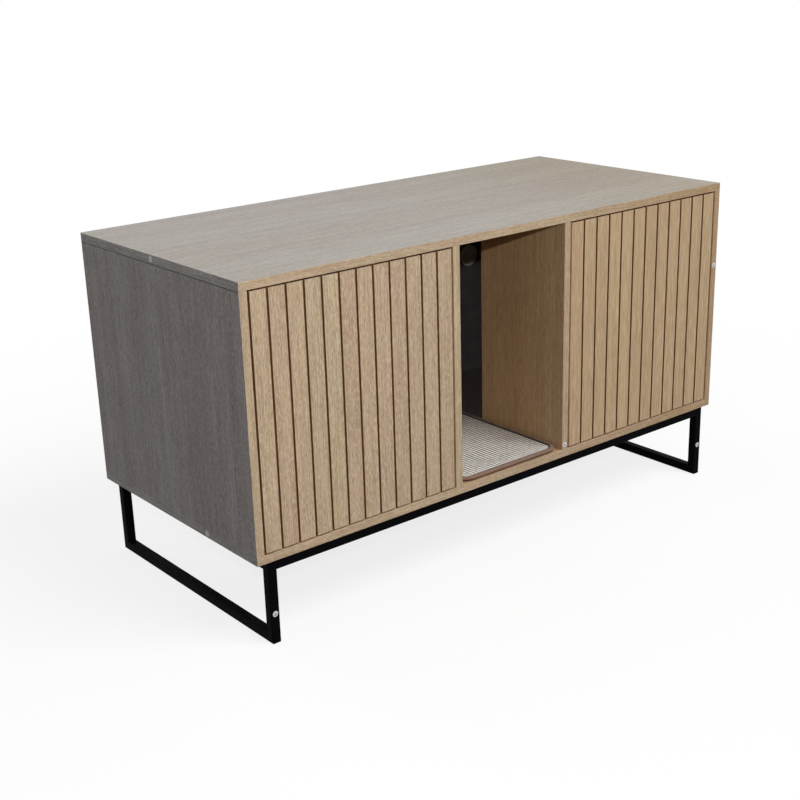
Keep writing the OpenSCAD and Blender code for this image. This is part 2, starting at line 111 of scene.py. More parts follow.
class Canvas:
    """Adds nodes to a shader tree and links them."""

    def __init__(self, tree: bpy.types.NodeTree) -> None:
        """Keeps the tree to draw in."""
        self.tree = tree

    def add(self, kind: str, *sources: Source, **settings: object) -> bpy.types.Node:
        """Adds a node.

        Args:
            kind: The node's type.
            *sources: Values or outputs for its first inputs, in order.
            **settings: Properties of the node itself.

        Returns:
            The new node.
        """
        node = self.tree.nodes.new(kind)
        for name, value in settings.items():
            setattr(node, name, value)
        for socket, source in zip(node.inputs, sources):
            self.feed(socket, source)
        return node

    def feed(self, socket: Socket, source: Source) -> None:
        """Links a socket, or sets its value.

        Args:
            socket: The input to feed.
            source: Another node's output, or a plain value.
        """
        if isinstance(source, Socket):
            self.tree.links.new(source, socket)
        else:
            socket.default_value = source

    def fill(self, node: bpy.types.Node, **sources: Source) -> bpy.types.Node:
        """Feeds inputs of a node by name, with _ for a blank.

        Args:
            node: The node.
            **sources: Values or outputs, by the name of the input.

        Returns:
            The same node.
        """
        for name, source in sources.items():
            self.feed(node.inputs[name.replace("_", " ")], source)
        return node

    def math(self, operation: str, *sources: Source) -> Socket:
        """Works out an operation on one to three values."""
        return self.add("ShaderNodeMath", *sources, operation=operation).outputs[0]

    def times(self, first: Source, second: Source) -> Socket:
        """Multiplies two values."""
        return self.math("MULTIPLY", first, second)

    def shift(self, value: Source, mask: Source, amount: float) -> Socket:
        """Moves a value by an amount where a mask says so."""
        return self.math("MULTIPLY_ADD", mask, amount, value)

    def vector(self, operation: str, *sources: Source) -> Socket:
        """Works out an operation on one or two vectors."""
        return self.add("ShaderNodeVectorMath", *sources, operation=operation).outputs[0]

    def scale(self, vector: Source, factor: Source) -> Socket:
        """Multiplies a vector by a value."""
        node = self.add("ShaderNodeVectorMath", vector, operation="SCALE")
        return self.fill(node, Scale=factor).outputs[0]

    def split(self, vector: Source) -> list[Socket]:
        """Splits a vector into its X, Y and Z."""
        return list(self.add("ShaderNodeSeparateXYZ", vector).outputs)

    def join(self, x: Source, y: Source, z: Source) -> Socket:
        """Joins three values to a vector."""
        return self.add("ShaderNodeCombineXYZ", x, y, z).outputs[0]

    def noise(self, place: Source, cells: tuple, detail: float = 2.0, rough: float = 0.5) -> Socket:
        """Adds a noise of so many cells per metre along X, Y and Z, about 0.5 on average."""
        node = self.add("ShaderNodeTexNoise", self.vector("MULTIPLY", place, cells))
        return self.fill(node, Scale=1.0, Detail=detail, Roughness=rough).outputs[0]

    def span(self, source: Source, low: float, high: float, start: float = 0.0, end: float = 1.0) -> Socket:
        """Leads smoothly from a start up to a low value to an end from a high value."""
        ends = (low, high, start, end)
        return self.add("ShaderNodeMapRange", source, *ends, interpolation_type="SMOOTHSTEP").outputs[0]

    def blend(self, sort: Blend, share: Source, first: Source, second: Source) -> Socket:
        """Mixes two colours or vectors.

        Args:
            sort: What is mixed.
            share: Share of the second one.
            first: The first one.
            second: The second one.

        Returns:
            The mixture.
        """
        kind, entry, result = sort.value
        node = self.add("ShaderNodeMix", share, data_type=kind)
        self.feed(node.inputs[entry], first)
        self.feed(node.inputs[entry + 1], second)
        return node.outputs[result]

    def mix(self, share: Source, first: Source, second: Source) -> Socket:
        """Mixes two colours."""
        return self.blend(Blend.COLOURS, share, first, second)

    def lay(self, colour: Source, mask: Source, share: Source, tone: Source) -> Socket:
        """Lays a share of a tone over a colour where a mask says so."""
        return self.mix(self.times(mask, share), colour, tone)

    def choose(self, share: Source, first: Source, second: Source) -> Socket:
        """Mixes two vectors."""
        return self.blend(Blend.VECTORS, share, first, second)

    def group(self, tree: bpy.types.NodeTree, **sources: Source) -> Sockets:
        """Places a node group and gives its outputs."""
        return self.fill(self.add("ShaderNodeGroup", node_tree=tree), **sources).outputs

    def bump(self, height: Source, distance: float) -> Socket:
        """Bends the normal by a height, of which 1 stands for a distance in metres."""
        node = self.add("ShaderNodeBump")
        return self.fill(node, Strength=1.0, Distance=distance, Height=height).outputs["Normal"]


class Effects:
    """Shader node groups that several finishes share, each built once."""

    SEED_STEP: ClassVar[tuple] = (3.1, 1.7, 2.3)
    RINGS: ClassVar[float] = 36.0

    # Cells per metre of each noise, along X, Y and Z
    WAVE: ClassVar[tuple] = (1.6, 8.0, 8.0)
    WIGGLE: ClassVar[tuple] = (14.0, 34.0, 34.0)
    FIGURE: ClassVar[tuple] = (0.6, 16.0, 16.0)
    BROAD: ClassVar[tuple] = (0.7, 6.0, 6.0)
    STREAKS: ClassVar[tuple] = (7.0, 480.0, 480.0)
    FLECKS: ClassVar[tuple] = (115.0, 620.0, 620.0)
    PORES: ClassVar[tuple] = (75.0, 1500.0, 1500.0)
    PATCHES: ClassVar[tuple] = (40.0, 40.0, 40.0)
    SPECKS: ClassVar[tuple] = (420.0, 420.0, 420.0)
    SMUDGES: ClassVar[tuple] = (9.0, 9.0, 9.0)
    CLOUDS: ClassVar[tuple] = (30.0, 30.0, 30.0)
    HAIRS: ClassVar[tuple] = (450.0, 3200.0, 3200.0)
    LINT: ClassVar[tuple] = (160.0, 900.0, 900.0)

    # Where each mask starts and where it is full, in what it is made from
    SPANS: ClassVar[dict[str, tuple[float, float]]] = {
        "figure": (0.36, 0.64),
        "streaks": (0.4, 0.6),
        "flecks": (0.5, 0.66),
        "glints": (0.5, 0.34),
        "pores": (0.58, 0.72),
        "edge": (0.985, 0.8),
        "patches": (0.35, 0.6),
        "smudges": (0.4, 0.75),
        "specks": (0.5, 0.75),
        "upward": (0.6, 0.95),
        "lint": (0.3, 0.7),
    }

    # How far the grain sways in long waves and in short ones, in metres
    REACHES: ClassVar[tuple[float, float]] = (0.016, 0.005)
    # How many turns of the rings a broad wave moves them by
    BROAD_TURNS: ClassVar[float] = 5.0
    # Height of the wood's ground, and how far the streaks and the pores change it
    RELIEF: ClassVar[tuple[float, float, float]] = (0.95, -0.25, -0.7)

    def __init__(self) -> None:
        """Builds the groups."""
        self.grain = self._grain()
        self.handling = self._handling()
        self.moulding = self._moulding()
        self.fibres = self._fibres()

    @staticmethod
    def _open(name: str, **inputs: Kind) -> tuple[Canvas, Sockets]:
        """Opens a group.

        Args:
            name: Name of the group.
            **inputs: Kind of each input, by name.

        Returns:
            A canvas on the group, and what its inputs give.
        """
        canvas = Canvas(bpy.data.node_groups.new(name, "ShaderNodeTree"))
        for socket, kind in inputs.items():
            canvas.tree.interface.new_socket(socket, in_out="INPUT", socket_type=kind.value)
        return canvas, canvas.add("NodeGroupInput").outputs

    @staticmethod
    def _close(canvas: Canvas, **results: Source) -> bpy.types.NodeTree:
        """Gives a group its outputs.

        Args:
            canvas: Canvas on the group.
            **results: The value of each output, by name.

        Returns:
            The finished group.
        """
        for socket in results:
            canvas.tree.interface.new_socket(socket, in_out="OUTPUT", socket_type=Kind.VALUE.value)
        canvas.fill(canvas.add("NodeGroupOutput"), **results)
        return canvas.tree

    @staticmethod
    def _sway(canvas: Canvas, place: Source, cells: tuple, detail: float, reach: float) -> Socket:
        """Sways a place across the grain's run, within a reach in metres."""
        aside = canvas.math("MULTIPLY_ADD", canvas.noise(place, cells, detail), reach, -reach / 2)
        return canvas.vector("ADD", place, canvas.join(0.0, aside, aside))

    def _grain(self) -> bpy.types.NodeTree:
        """Builds open oak grain that runs along X of its vector, with a look of its own for each seed.

        Returns:
            The group.
        """
        canvas, given = self._open("oak_grain", Vector=Kind.VECTOR, Seed=Kind.VALUE)
        place = canvas.vector("ADD", given["Vector"], canvas.scale(self.SEED_STEP, given["Seed"]))
        place = self._sway(canvas, place, self.WAVE, 2.0, self.REACHES[0])
        place = self._sway(canvas, place, self.WIGGLE, 1.0, self.REACHES[1])
        across = canvas.math("ADD", *canvas.split(place)[1:])
        broad = canvas.times(canvas.noise(place, self.BROAD, 1.0), self.BROAD_TURNS)
        turns = canvas.shift(broad, across, self.RINGS)
        rings = canvas.math("MULTIPLY_ADD", canvas.math("SINE", canvas.times(turns, math.tau)), 0.5, 0.5)
        streaks = canvas.span(canvas.noise(place, self.STREAKS, 2.0, 0.6), *self.SPANS["streaks"])
        fine = canvas.noise(place, self.FLECKS, 2.0, 0.6)
        pores = canvas.span(canvas.noise(place, self.PORES, 1.0), *self.SPANS["pores"])
        ground, streaked, open_pores = self.RELIEF
        return self._close(
            canvas,
            Figure=canvas.span(canvas.noise(place, self.FIGURE, 2.0), *self.SPANS["figure"]),
            Rings=rings,
            Streaks=streaks,
            Flecks=canvas.span(fine, *self.SPANS["flecks"]),
            Glints=canvas.span(fine, *self.SPANS["glints"]),
            Pores=pores,
            Height=canvas.shift(canvas.shift(ground, streaks, streaked), pores, open_pores),
        )

    def _handling(self) -> bpy.types.NodeTree:
        """Builds the traces of use: rubbed edges, smudges and settled dust.

        Returns:
            The group.
        """
        canvas, given = self._open("handling", Vector=Kind.VECTOR, Normal=Kind.VECTOR)
        place = given["Vector"]
        x, y, z = canvas.split(canvas.vector("ABSOLUTE", given["Normal"]))
        flat = canvas.math("MAXIMUM", canvas.math("MAXIMUM", x, y), z)
        patches = canvas.noise(place, self.PATCHES, 3.0)
        specks = canvas.span(canvas.noise(place, self.SPECKS, 2.0), *self.SPANS["specks"])
        upward = canvas.span(canvas.split(given["Normal"])[2], *self.SPANS["upward"])
        edges = canvas.span(flat, *self.SPANS["edge"])
        return self._close(
            canvas,
            Edge=canvas.times(edges, canvas.span(patches, *self.SPANS["patches"])),
            Smudge=canvas.span(canvas.noise(place, self.SMUDGES, 3.0, 0.6), *self.SPANS["smudges"]),
            Dust=canvas.times(specks, upward),
        )

    def _moulding(self) -> bpy.types.NodeTree:
        """Builds the fine skin of coatings and plastic. Its Pitch is the size of a grain, in metres.

        Returns:
            The group.
        """
        canvas, given = self._open("fine_skin", Vector=Kind.VECTOR, Pitch=Kind.VALUE)
        grains = canvas.scale(given["Vector"], canvas.math("DIVIDE", 1.0, given["Pitch"]))
        tone = canvas.noise(given["Vector"], self.CLOUDS, 4.0, 0.6)
        return self._close(canvas, Tone=tone, Height=canvas.noise(grains, ONES, 2.0))

    def _fibres(self) -> bpy.types.NodeTree:
        """Builds the hair-thin fibres of yarn, lying along X of the vector.

        Returns:
            The group.
        """
        canvas, given = self._open("fibres", Vector=Kind.VECTOR)
        hairs = canvas.noise(given["Vector"], self.HAIRS, 2.0, 0.7)
        tone = canvas.span(canvas.noise(given["Vector"], self.LINT, 2.0), *self.SPANS["lint"])
        return self._close(canvas, Tone=tone, Height=hairs)


class OakPalette(NamedTuple):
    """Colours of one oak pattern: its two ground tones, its streaks, its glints and its pores."""

    light: Colour
    deep: Colour
    streak: Colour
    glint: Colour
    pore: Colour


WARM_OAK = OakPalette(
    srgb(206, 184, 151), srgb(201, 173, 147), srgb(158, 134, 106), srgb(228, 208, 182), srgb(120, 95, 68)
)
# Painted warm shade: the same oak as it looks on inner faces
INNER_SHADE_OAK = OakPalette(
    srgb(192, 158, 117), srgb(186, 149, 112), srgb(152, 118, 84), srgb(204, 172, 134), srgb(124, 92, 62)
)
# Painted cool shade: the same oak as it looks on outer side faces
OUTER_SHADE_OAK = OakPalette(
    srgb(157, 153, 150), srgb(138, 127, 124), srgb(78, 69, 67), srgb(196, 190, 186), srgb(62, 54, 51)
)
# Painted sky light: the same oak as it looks on top faces
TOP_SKY_LIGHT_OAK = OakPalette(
    srgb(174, 169, 160), srgb(166, 158, 150), srgb(137, 128, 120), srgb(190, 185, 177), srgb(122, 113, 105)
)


class Coat(NamedTuple):
    """What covers a surface: its colour, its roughness, and its height, in depths of the finish."""

    colour: Source
    rough: Source
    height: Source


class Brush(Canvas):
    """A canvas on a material, with the coordinates and effects that finishes are painted with."""

    def __init__(self, tree: bpy.types.NodeTree, effects: Effects) -> None:
        """Adds the coordinates.

        Args:
            tree: The material's tree.
            effects: The shared groups.
        """
        super().__init__(tree)
        self.effects = effects
        given = self.add("ShaderNodeTexCoord").outputs
        self.place, self.normal = given["Object"], given["Normal"]

    def attribute(self, name: str, output: str = "Fac") -> Socket:
        """Reads an attribute of the mesh."""
        return self.add("ShaderNodeAttribute", attribute_name=name).outputs[output]

    def grain(self, along: Source, seed: Source) -> Sockets:
        """Gives the layers of oak grain that runs along X of a vector."""
        return self.group(self.effects.grain, Vector=along, Seed=seed)

    def wear(self) -> Sockets:
        """Gives the traces of use."""
        return self.group(self.effects.handling, Vector=self.place, Normal=self.normal)

    def skin(self, pitch: float) -> Sockets:
        """Gives a fine skin with grains of a size in metres."""
        return self.group(self.effects.moulding, Vector=self.place, Pitch=pitch)

    def hair(self, along: Source) -> Sockets:
        """Gives the fibres that lie along X of a vector."""
        return self.group(self.effects.fibres, Vector=along)

    def stains(self, cells: float, detail: float, low: float, high: float) -> Socket:
        """Gives soft round stains, so many cells of them per metre."""
        return self.span(self.noise(self.place, (cells, cells, cells), detail), low, high)

    def veins(self, colour: Source, oak: Sockets, tones: Sequence, shares: Sequence) -> Socket:
        """Lays the layers of oak grain over its ground colour.

        Args:
            colour: The ground colour.
            oak: The layers.
            tones: Colours of the oak pattern, in the order of OakPalette.
            shares: Share of the rings, streaks, flecks, glints and pores.

        Returns:
            The colour with its grain.
        """
        streak, glint, pore = tones[2:]
        layers = {"Rings": streak, "Streaks": streak, "Flecks": streak, "Glints": glint, "Pores": pore}
        for (layer, tone), share in zip(layers.items(), shares):
            colour = self.lay(colour, oak[layer], share, tone)
        return colour


@dataclass(frozen=True)
class Finish:
    """A finish of a surface: its name, how matt it is from 0 to 1, and its specular level."""

    name: str
    matt: float
    shine: float

    # Inputs that are the same all over the surface, and the depth that a height of 1 stands for
    UNIFORM: ClassVar[dict[str, float]] = {}
    DEPTH: ClassVar[float] = 0.00002

    def build(self, effects: Effects) -> bpy.types.Material:
        """Builds the material.

        Args:
            effects: The shared groups.

        Returns:
            The material.
        """
        material = bpy.data.materials.new(self.name)
        material.use_nodes = True
        surface = material.node_tree.nodes["Principled BSDF"]
        surface.inputs["Specular IOR Level"].default_value = self.shine
        for name, value in self.UNIFORM.items():
            surface.inputs[name].default_value = value
        brush = Brush(material.node_tree, effects)
        coat = self.paint(brush)
        bent = brush.bump(coat.height, self.DEPTH)
        brush.fill(surface, Base_Color=coat.colour, Roughness=coat.rough, Normal=bent)
        return material

    def paint(self, brush: Brush) -> Coat:
        """Paints the finish, each kind in its own way."""
        raise NotImplementedError


@dataclass(frozen=True)
class ShellOak(Finish):
    """Oak-look laminate of the carcass: pale in front, painted warm shade inside, painted cool shade on its
    outer faces, painted sky light on top.
    """

    grain: Grain
    pace: float
    seed: float
    half_width: float
    top: float
    front: float
    lined_from: Optional[float]
    seams: Optional[tuple[float, float]]

    # Charcoal of the floor's upper face behind the dividers
    LINING: ClassVar[Colour] = srgb(106, 95, 92)
    # Painted shadow in the seam at the head of each side
    SEAM: ClassVar[Colour] = srgb(30, 27, 26)
    # Tint of the painted falloff of light towards the right
    MELLOWED: ClassVar[tuple] = (0.87, 0.81, 0.7)
    SHARES: ClassVar[tuple] = (0.15, 0.48, 0.45, 0.35, 0.4)

    DEPTH: ClassVar[float] = 0.00012

    # Where a face counts as one of the front, of a side or of the top, and where as a floor
    FRONT_FACE: ClassVar[tuple] = (0.5, 0.9)
    SIDE_FACE: ClassVar[tuple] = (0.4, 0.6)
    TOP_FACE: ClassVar[tuple] = (0.6, 0.8)
    FLOOR_FACE: ClassVar[tuple] = (0.6, 0.95)
    # Metres behind the front where the painted light of the opening starts and is fullest, and the share it
    # reaches
    WARMING: ClassVar[tuple] = (0.08, 0.01)
    WARMTH: ClassVar[float] = 0.3
    # Where the painted falloff of light, darker and warmer to the right, starts and where it is full, in
    # half widths from the middle
    MELLOWING: ClassVar[tuple] = (-0.1, 1.05)
    # Heights and shares of the pale seam at the foot of a side and of the painted seam shadow at its head
    SEAM_HEIGHTS: ClassVar[tuple] = (0.001, 0.002)
    SEAM_SHARES: ClassVar[tuple] = (0.7, 0.95)
    # Share of the face's pore tone at rubbed edges, and how smudges and pores change the roughness
    RUBBED: ClassVar[float] = 0.25
    SMUDGED: ClassVar[float] = -0.03
    POROUS: ClassVar[float] = 0.1
    # Metres over which the floor's charcoal sets in behind the dividers
    LINING_EDGE: ClassVar[float] = 0.001

    def paint(self, brush: Brush) -> Coat:
        """Paints the laminate with painted light and shade by the side that a face is on, with its seams
        and the floor's charcoal.

        Args:
            brush: The brush on the material.

        Returns:
            The coat.
        """
        x, y, z = brush.split(brush.place)
        nx, ny, nz = brush.split(brush.normal)
        front_face = brush.span(brush.math("ABSOLUTE", ny), *self.FRONT_FACE)
        side_face = brush.span(brush.times(x, nx), *(share * self.half_width for share in self.SIDE_FACE))
        top_face = brush.span(brush.times(z, nz), *(share * self.top for share in self.TOP_FACE))
        # Painted light of the opening: inner faces take the front's paler tone near the front
        painted_opening_light = brush.span(y, *(self.front + reach for reach in self.WARMING), 0.0, self.WARMTH)
        edge = brush.math("MAXIMUM", front_face, painted_opening_light)
        if self.grain is Grain.UPRIGHT:
            along = brush.join(brush.times(z, self.pace), x, y)
        else:
            along = brush.choose(side_face, brush.join(x, y, z), brush.join(y, x, z))
        oak, wear = brush.grain(along, self.seed), brush.wear()
        tones = []
        # Painted light and shade: each face takes the lit or shaded copy of the oak for its side
        for inner_shade, warm, outer_shade, top_sky_light in zip(INNER_SHADE_OAK, WARM_OAK, OUTER_SHADE_OAK, TOP_SKY_LIGHT_OAK):
            shell = brush.mix(side_face, brush.mix(edge, inner_shade, warm), outer_shade)
            tones.append(brush.mix(top_face, shell, top_sky_light))
        colour = brush.veins(brush.mix(oak["Figure"], *tones[:2]), oak, tones, self.SHARES)
        colour = brush.lay(colour, wear["Edge"], self.RUBBED, tones[-1])
        # Painted falloff of light: top and front faces darker and warmer towards the right
        rightward = brush.span(x, *(share * self.half_width for share in self.MELLOWING))
        painted_falloff = brush.times(rightward, brush.math("MAXIMUM", top_face, front_face))
        colour = brush.vector("MULTIPLY", colour, brush.choose(painted_falloff, ONES, self.MELLOWED))
        if self.seams is not None:
            below = brush.math("LESS_THAN", z, self.seams[0] + self.SEAM_HEIGHTS[0])
            above = brush.math("GREATER_THAN", z, self.seams[1] - self.SEAM_HEIGHTS[1])
            pale, dark = self.SEAM_SHARES
            colour = brush.lay(colour, brush.times(below, side_face), pale, OUTER_SHADE_OAK.glint)
            # Painted shadow in the seam where the side meets the top
            colour = brush.lay(colour, brush.times(above, side_face), dark, self.SEAM)
        if self.lined_from is not None:
            behind = brush.span(y, self.lined_from, self.lined_from + self.LINING_EDGE)
            colour = brush.lay(colour, behind, brush.span(nz, *self.FLOOR_FACE), self.LINING)
        smudged = brush.shift(self.matt, wear["Smudge"], self.SMUDGED)
        return Coat(colour, brush.shift(smudged, oak["Pores"], self.POROUS), oak["Height"])


@dataclass(frozen=True)
class SlatOak(Finish):
    """Oak-look slats, each with a tint and a grain of its own; sides dark but at the free edge."""

    first: float
    pitch: float
    gap: float

    TANNED: ClassVar[Colour] = srgb(196, 160, 134)
    ROSY: ClassVar[Colour] = srgb(210, 174, 150)
    SANDY: ClassVar[Colour] = srgb(206, 188, 152)
    # Painted warm light on the right door
    GOLDEN: ClassVar[Colour] = srgb(199, 162, 104)
    GROOVE: ClassVar[Colour] = srgb(112, 76, 42)
    SHARES: ClassVar[tuple] = (0.1, 0.56, 0.48, 0.5, 0.42)
    LEFT_DOOR: ClassVar[float] = 20.0
    DEPTH: ClassVar[float] = 0.00014

    # Pace of the grain and boldness of its layers, and how the right door's differ
    PACES: ClassVar[tuple] = (0.9, -0.6)
    BOLDNESS: ClassVar[tuple] = (1.0, -0.25)
    # Shares of the four tints: in smudges, by chance twice, and painted warm light on the right door
    TINTS: ClassVar[tuple] = (0.1, 0.6, 0.5, 0.42)
    # Where a face counts as the side of a slat, and how much rougher the streaks are
    SIDEWAYS: ClassVar[tuple] = (0.75, 0.92)
    STREAKED: ClassVar[float] = 0.08

    def paint(self, brush: Brush) -> Coat:
        """Paints the slats by their number, the right door in painted warm light and with longer grain.

        Args:
            brush: The brush on the material.

        Returns:
            The coat.
        """
        x, y, z = brush.split(brush.place)
        right = brush.math("GREATER_THAN", x, 0.0)
        inside = brush.math("SUBTRACT", brush.math("ABSOLUTE", x), self.first)
        left = brush.times(brush.math("LESS_THAN", x, 0.0), self.LEFT_DOOR)
        index = brush.math("ADD", brush.math("FLOOR", brush.math("DIVIDE", inside, self.pitch)), left)
        chance = brush.fill(brush.add("ShaderNodeTexWhiteNoise", noise_dimensions="1D"), W=index)
        tint = brush.split(chance.outputs["Color"])
        (start, change), (bold, fainter) = self.PACES, self.BOLDNESS
        pace = brush.shift(start, right, change)
        oak, wear = brush.grain(brush.join(brush.times(z, pace), x, y), index), brush.wear()
        colour = brush.mix(oak["Figure"], WARM_OAK.light, WARM_OAK.deep)
        # The last mask lays painted warm light on the right door
        masks = (wear["Smudge"], tint[0], tint[1], right)
        for mask, share, tone in zip(masks, self.TINTS, (self.TANNED, self.ROSY, self.SANDY, self.GOLDEN)):
            colour = brush.lay(colour, mask, share, tone)
        strength = brush.shift(bold, right, fainter)
        colour = brush.veins(colour, oak, WARM_OAK, [brush.times(strength, share) for share in self.SHARES])
        sideways = brush.math("ABSOLUTE", brush.split(brush.normal)[0])
        past_free_edge = brush.math("GREATER_THAN", inside, self.gap)
        colour = brush.lay(colour, brush.span(sideways, *self.SIDEWAYS), past_free_edge, self.GROOVE)
        return Coat(colour, brush.shift(self.matt, oak["Streaks"], self.STREAKED), oak["Height"])


@dataclass(frozen=True)
class Coated(Finish):
    """A plain surface with a fine skin, in two shades and rubbed to the second one at its edges."""

    colour: Colour
    worn: Colour

    PITCH: ClassVar[float] = 0.0003
    PATCHY: ClassVar[tuple] = (0.3, 0.7)
    RUBBED: ClassVar[float] = 0.3
    DUSTY: ClassVar[float] = 0.0
    SMUDGED: ClassVar[float] = -0.1
    DEPTH: ClassVar[float] = 0.00003
    DUST: ClassVar[Colour] = srgb(150, 145, 138)

    def paint(self, brush: Brush) -> Coat:
        """Paints the skin, its rubbed edges and the dust on it.

        Args:
            brush: The brush on the material.

        Returns:
            The coat.
        """
        skin, wear = brush.skin(self.PITCH), brush.wear()
        colour = brush.mix(brush.span(skin["Tone"], *self.PATCHY), self.colour, self.worn)
        colour = brush.lay(colour, wear["Edge"], self.RUBBED, self.worn)
        if self.DUSTY:
            colour = brush.lay(colour, wear["Dust"], self.DUSTY, self.DUST)
        rough = brush.shift(self.matt, wear["Smudge"], self.SMUDGED)
        return Coat(colour, rough, skin["Height"])


@dataclass(frozen=True)
class Moulded(Coated):
    """Moulded plastic with a spark-eroded skin."""


@dataclass(frozen=True)
class LacqueredBoard(Coated):
    """Lacquered fibreboard, with the board's fine felt showing through."""

    PITCH: ClassVar[float] = 0.0006
    RUBBED: ClassVar[float] = 0.5
    SMUDGED: ClassVar[float] = -0.12
    DEPTH: ClassVar[float] = 0.00004


@dataclass(frozen=True)
class PowderCoat(Coated):
    """Powder coating on steel tube, with its orange-peel skin and a little settled dust."""

    PITCH: ClassVar[float] = 0.0012
    PATCHY: ClassVar[tuple] = (0.3, 0.75)
    RUBBED: ClassVar[float] = 0.35
    DUSTY: ClassVar[float] = 0.06
    SMUDGED: ClassVar[float] = 0.12
    DEPTH: ClassVar[float] = 0.00006


@dataclass(frozen=True)
class Plated(Finish):
    """Plated steel of fittings, screws and magnets, with a faint cloudy tarnish."""

    colour: Colour
    tarnish: Colour

    UNIFORM: ClassVar[dict[str, float]] = {"Metallic": 1.0}
    PITCH: ClassVar[float] = 0.0004

    # Stains: how many per metre, their detail, where they start and where they are full
    STAINS: ClassVar[tuple] = (260.0, 3.0, 0.45, 0.75)
    # How much rougher smudges and tarnish are
    SMUDGED: ClassVar[float] = 0.1
    TARNISHED: ClassVar[float] = 0.15

    def paint(self, brush: Brush) -> Coat:
        """Paints the plating and its tarnish.

        Args:
            brush: The brush on the material.

        Returns:
            The coat.
        """
        stain = brush.stains(*self.STAINS)
        colour = brush.mix(stain, self.colour, self.tarnish)
        smudged = brush.shift(self.matt, brush.wear()["Smudge"], self.SMUDGED)
        rough = brush.shift(smudged, stain, self.TARNISHED)
        return Coat(colour, rough, brush.skin(self.PITCH)["Height"])


@dataclass(frozen=True)
class PrintedPaper(Finish):
    """Label paper or the ink on it, with the paper's felt."""

    colour: Colour = srgb(224, 224, 226)
    soiled: Colour = srgb(204, 202, 202)

    PITCH: ClassVar[float] = 0.0002
    STAINS: ClassVar[tuple] = (300.0, 3.0, 0.45, 0.75)
    FELTED: ClassVar[float] = 0.15

    def paint(self, brush: Brush) -> Coat:
        """Paints the paper and its stains.

        Args:
            brush: The brush on the material.

        Returns:
            The coat.
        """
        felt = brush.skin(self.PITCH)
        colour = brush.mix(brush.stains(*self.STAINS), self.colour, self.soiled)
        return Coat(colour, brush.shift(self.matt, felt["Tone"], self.FELTED), felt["Height"])


@dataclass(frozen=True)
class RawBeech(Finish):
    """Fluted beech dowel, raw, with its short flecks."""

    LIGHT: ClassVar[Colour] = srgb(216, 189, 140)
    DEEP: ClassVar[Colour] = srgb(200, 168, 118)
    FLECK: ClassVar[Colour] = srgb(176, 138, 92)
    CELLS: ClassVar[tuple] = (700.0, 700.0, 220.0)
    SPAN: ClassVar[tuple] = (0.55, 0.7)
    SEED: ClassVar[float] = 3.0
    SMOOTHER: ClassVar[float] = -0.1
    DEPTH: ClassVar[float] = 0.0001

    def paint(self, brush: Brush) -> Coat:
        """Paints the wood and its flecks.

        Args:
            brush: The brush on the material.

        Returns:
            The coat.
        """
        x, y, z = brush.split(brush.place)
        wood = brush.grain(brush.join(z, x, y), self.SEED)
        flecks = brush.span(brush.noise(brush.place, self.CELLS, 1.0), *self.SPAN)
        colour = brush.mix(flecks, brush.mix(wood["Streaks"], self.LIGHT, self.DEEP), self.FLECK)
        return Coat(colour, brush.shift(self.matt, flecks, self.SMOOTHER), wood["Height"])


@dataclass(frozen=True)
class WovenSisal(Finish):
    """Coarse pale yarn. The mesh says which yarn a point belongs to and how deep it lies."""

    pale: Colour = srgb(252, 252, 251)
    sandy: Colour = srgb(242, 233, 216)
    # Painted shade of the hollows between yarns and of the grooves between plies
    hollow: Colour = srgb(66, 56, 44)
    ply: float = 0.0032

    UNIFORM: ClassVar[dict[str, float]] = {"Sheen Weight": 0.15, "Sheen Roughness": 0.6}

    DEPTH: ClassVar[float] = 0.0004

    # From where to where, along Y, painted shade turns the yarn sandy and its hollows darker towards the
    # rear, and by what shares
    SANDY_ALONG: ClassVar[tuple] = (-0.25, -0.1, 0.0, 0.5)
    DARK_ALONG: ClassVar[tuple] = (-0.265, -0.215, 0.7, 0.97)
    # Between which depths the painted shade of the hollows begins, and how dark the painted shade in the
    # grooves between the plies is
    HOLLOWS: ClassVar[tuple] = (0.13, 0.53)
    GROOVES: ClassVar[tuple] = (0.45, 0.0, 0.0, 0.5)
    # How steeply the plies are twisted
    TWIST: ClassVar[float] = 1.3
    # Stains: how many per metre, their detail, where they start and where they are full
    STAINS: ClassVar[tuple] = (14.0, 2.0, 0.4, 0.7)
    # How much the stains, the fibres' tone and height weigh, and how depth changes the roughness
    STAINED: ClassVar[float] = 0.3
    HAIRY: ClassVar[float] = 0.25
    FIBROUS: ClassVar[float] = 0.5
    ROUGHER: ClassVar[float] = 0.1

    def paint(self, brush: Brush) -> Coat:
        """Paints the yarn with its plies and fibres, with painted shade between the yarns and the plies and
        towards the rear.

        Args:
            brush: The brush on the material.

        Returns:
            The coat.
        """
        tone, depth = brush.attribute(Mat.TONE), brush.attribute(Mat.DEPTH)
        place = brush.attribute(Mat.PLACE, "Vector")
        along, across, _ = brush.split(place)
        lay = brush.times(brush.shift(along, across, self.TWIST), math.pi / self.ply)
        ply = brush.math("ABSOLUTE", brush.math("SINE", lay))
        hair = brush.hair(place)
        rearward = brush.split(brush.place)[1]
        sandiness = brush.shift(tone, brush.stains(*self.STAINS), self.STAINED)
        colour = brush.mix(sandiness, self.pale, self.sandy)
        # Painted shade: the yarn sandier deeper in the niche
        colour = brush.mix(brush.span(rearward, *self.SANDY_ALONG), colour, self.sandy)
        colour = brush.lay(colour, hair["Tone"], self.HAIRY, self.sandy)
        # Painted shade in the grooves between the plies
        colour = brush.mix(brush.span(ply, *self.GROOVES), colour, self.hollow)
        # Painted shade: the hollows darker away from the front
        rear_hollow_shade = brush.span(rearward, *self.DARK_ALONG)
        # Painted shade in the hollows between the yarns
        colour = brush.lay(colour, brush.span(depth, *self.HOLLOWS), rear_hollow_shade, self.hollow)
        height = brush.shift(ply, hair["Height"], self.FIBROUS)
        return Coat(colour, brush.shift(self.matt, depth, self.ROUGHER), height)


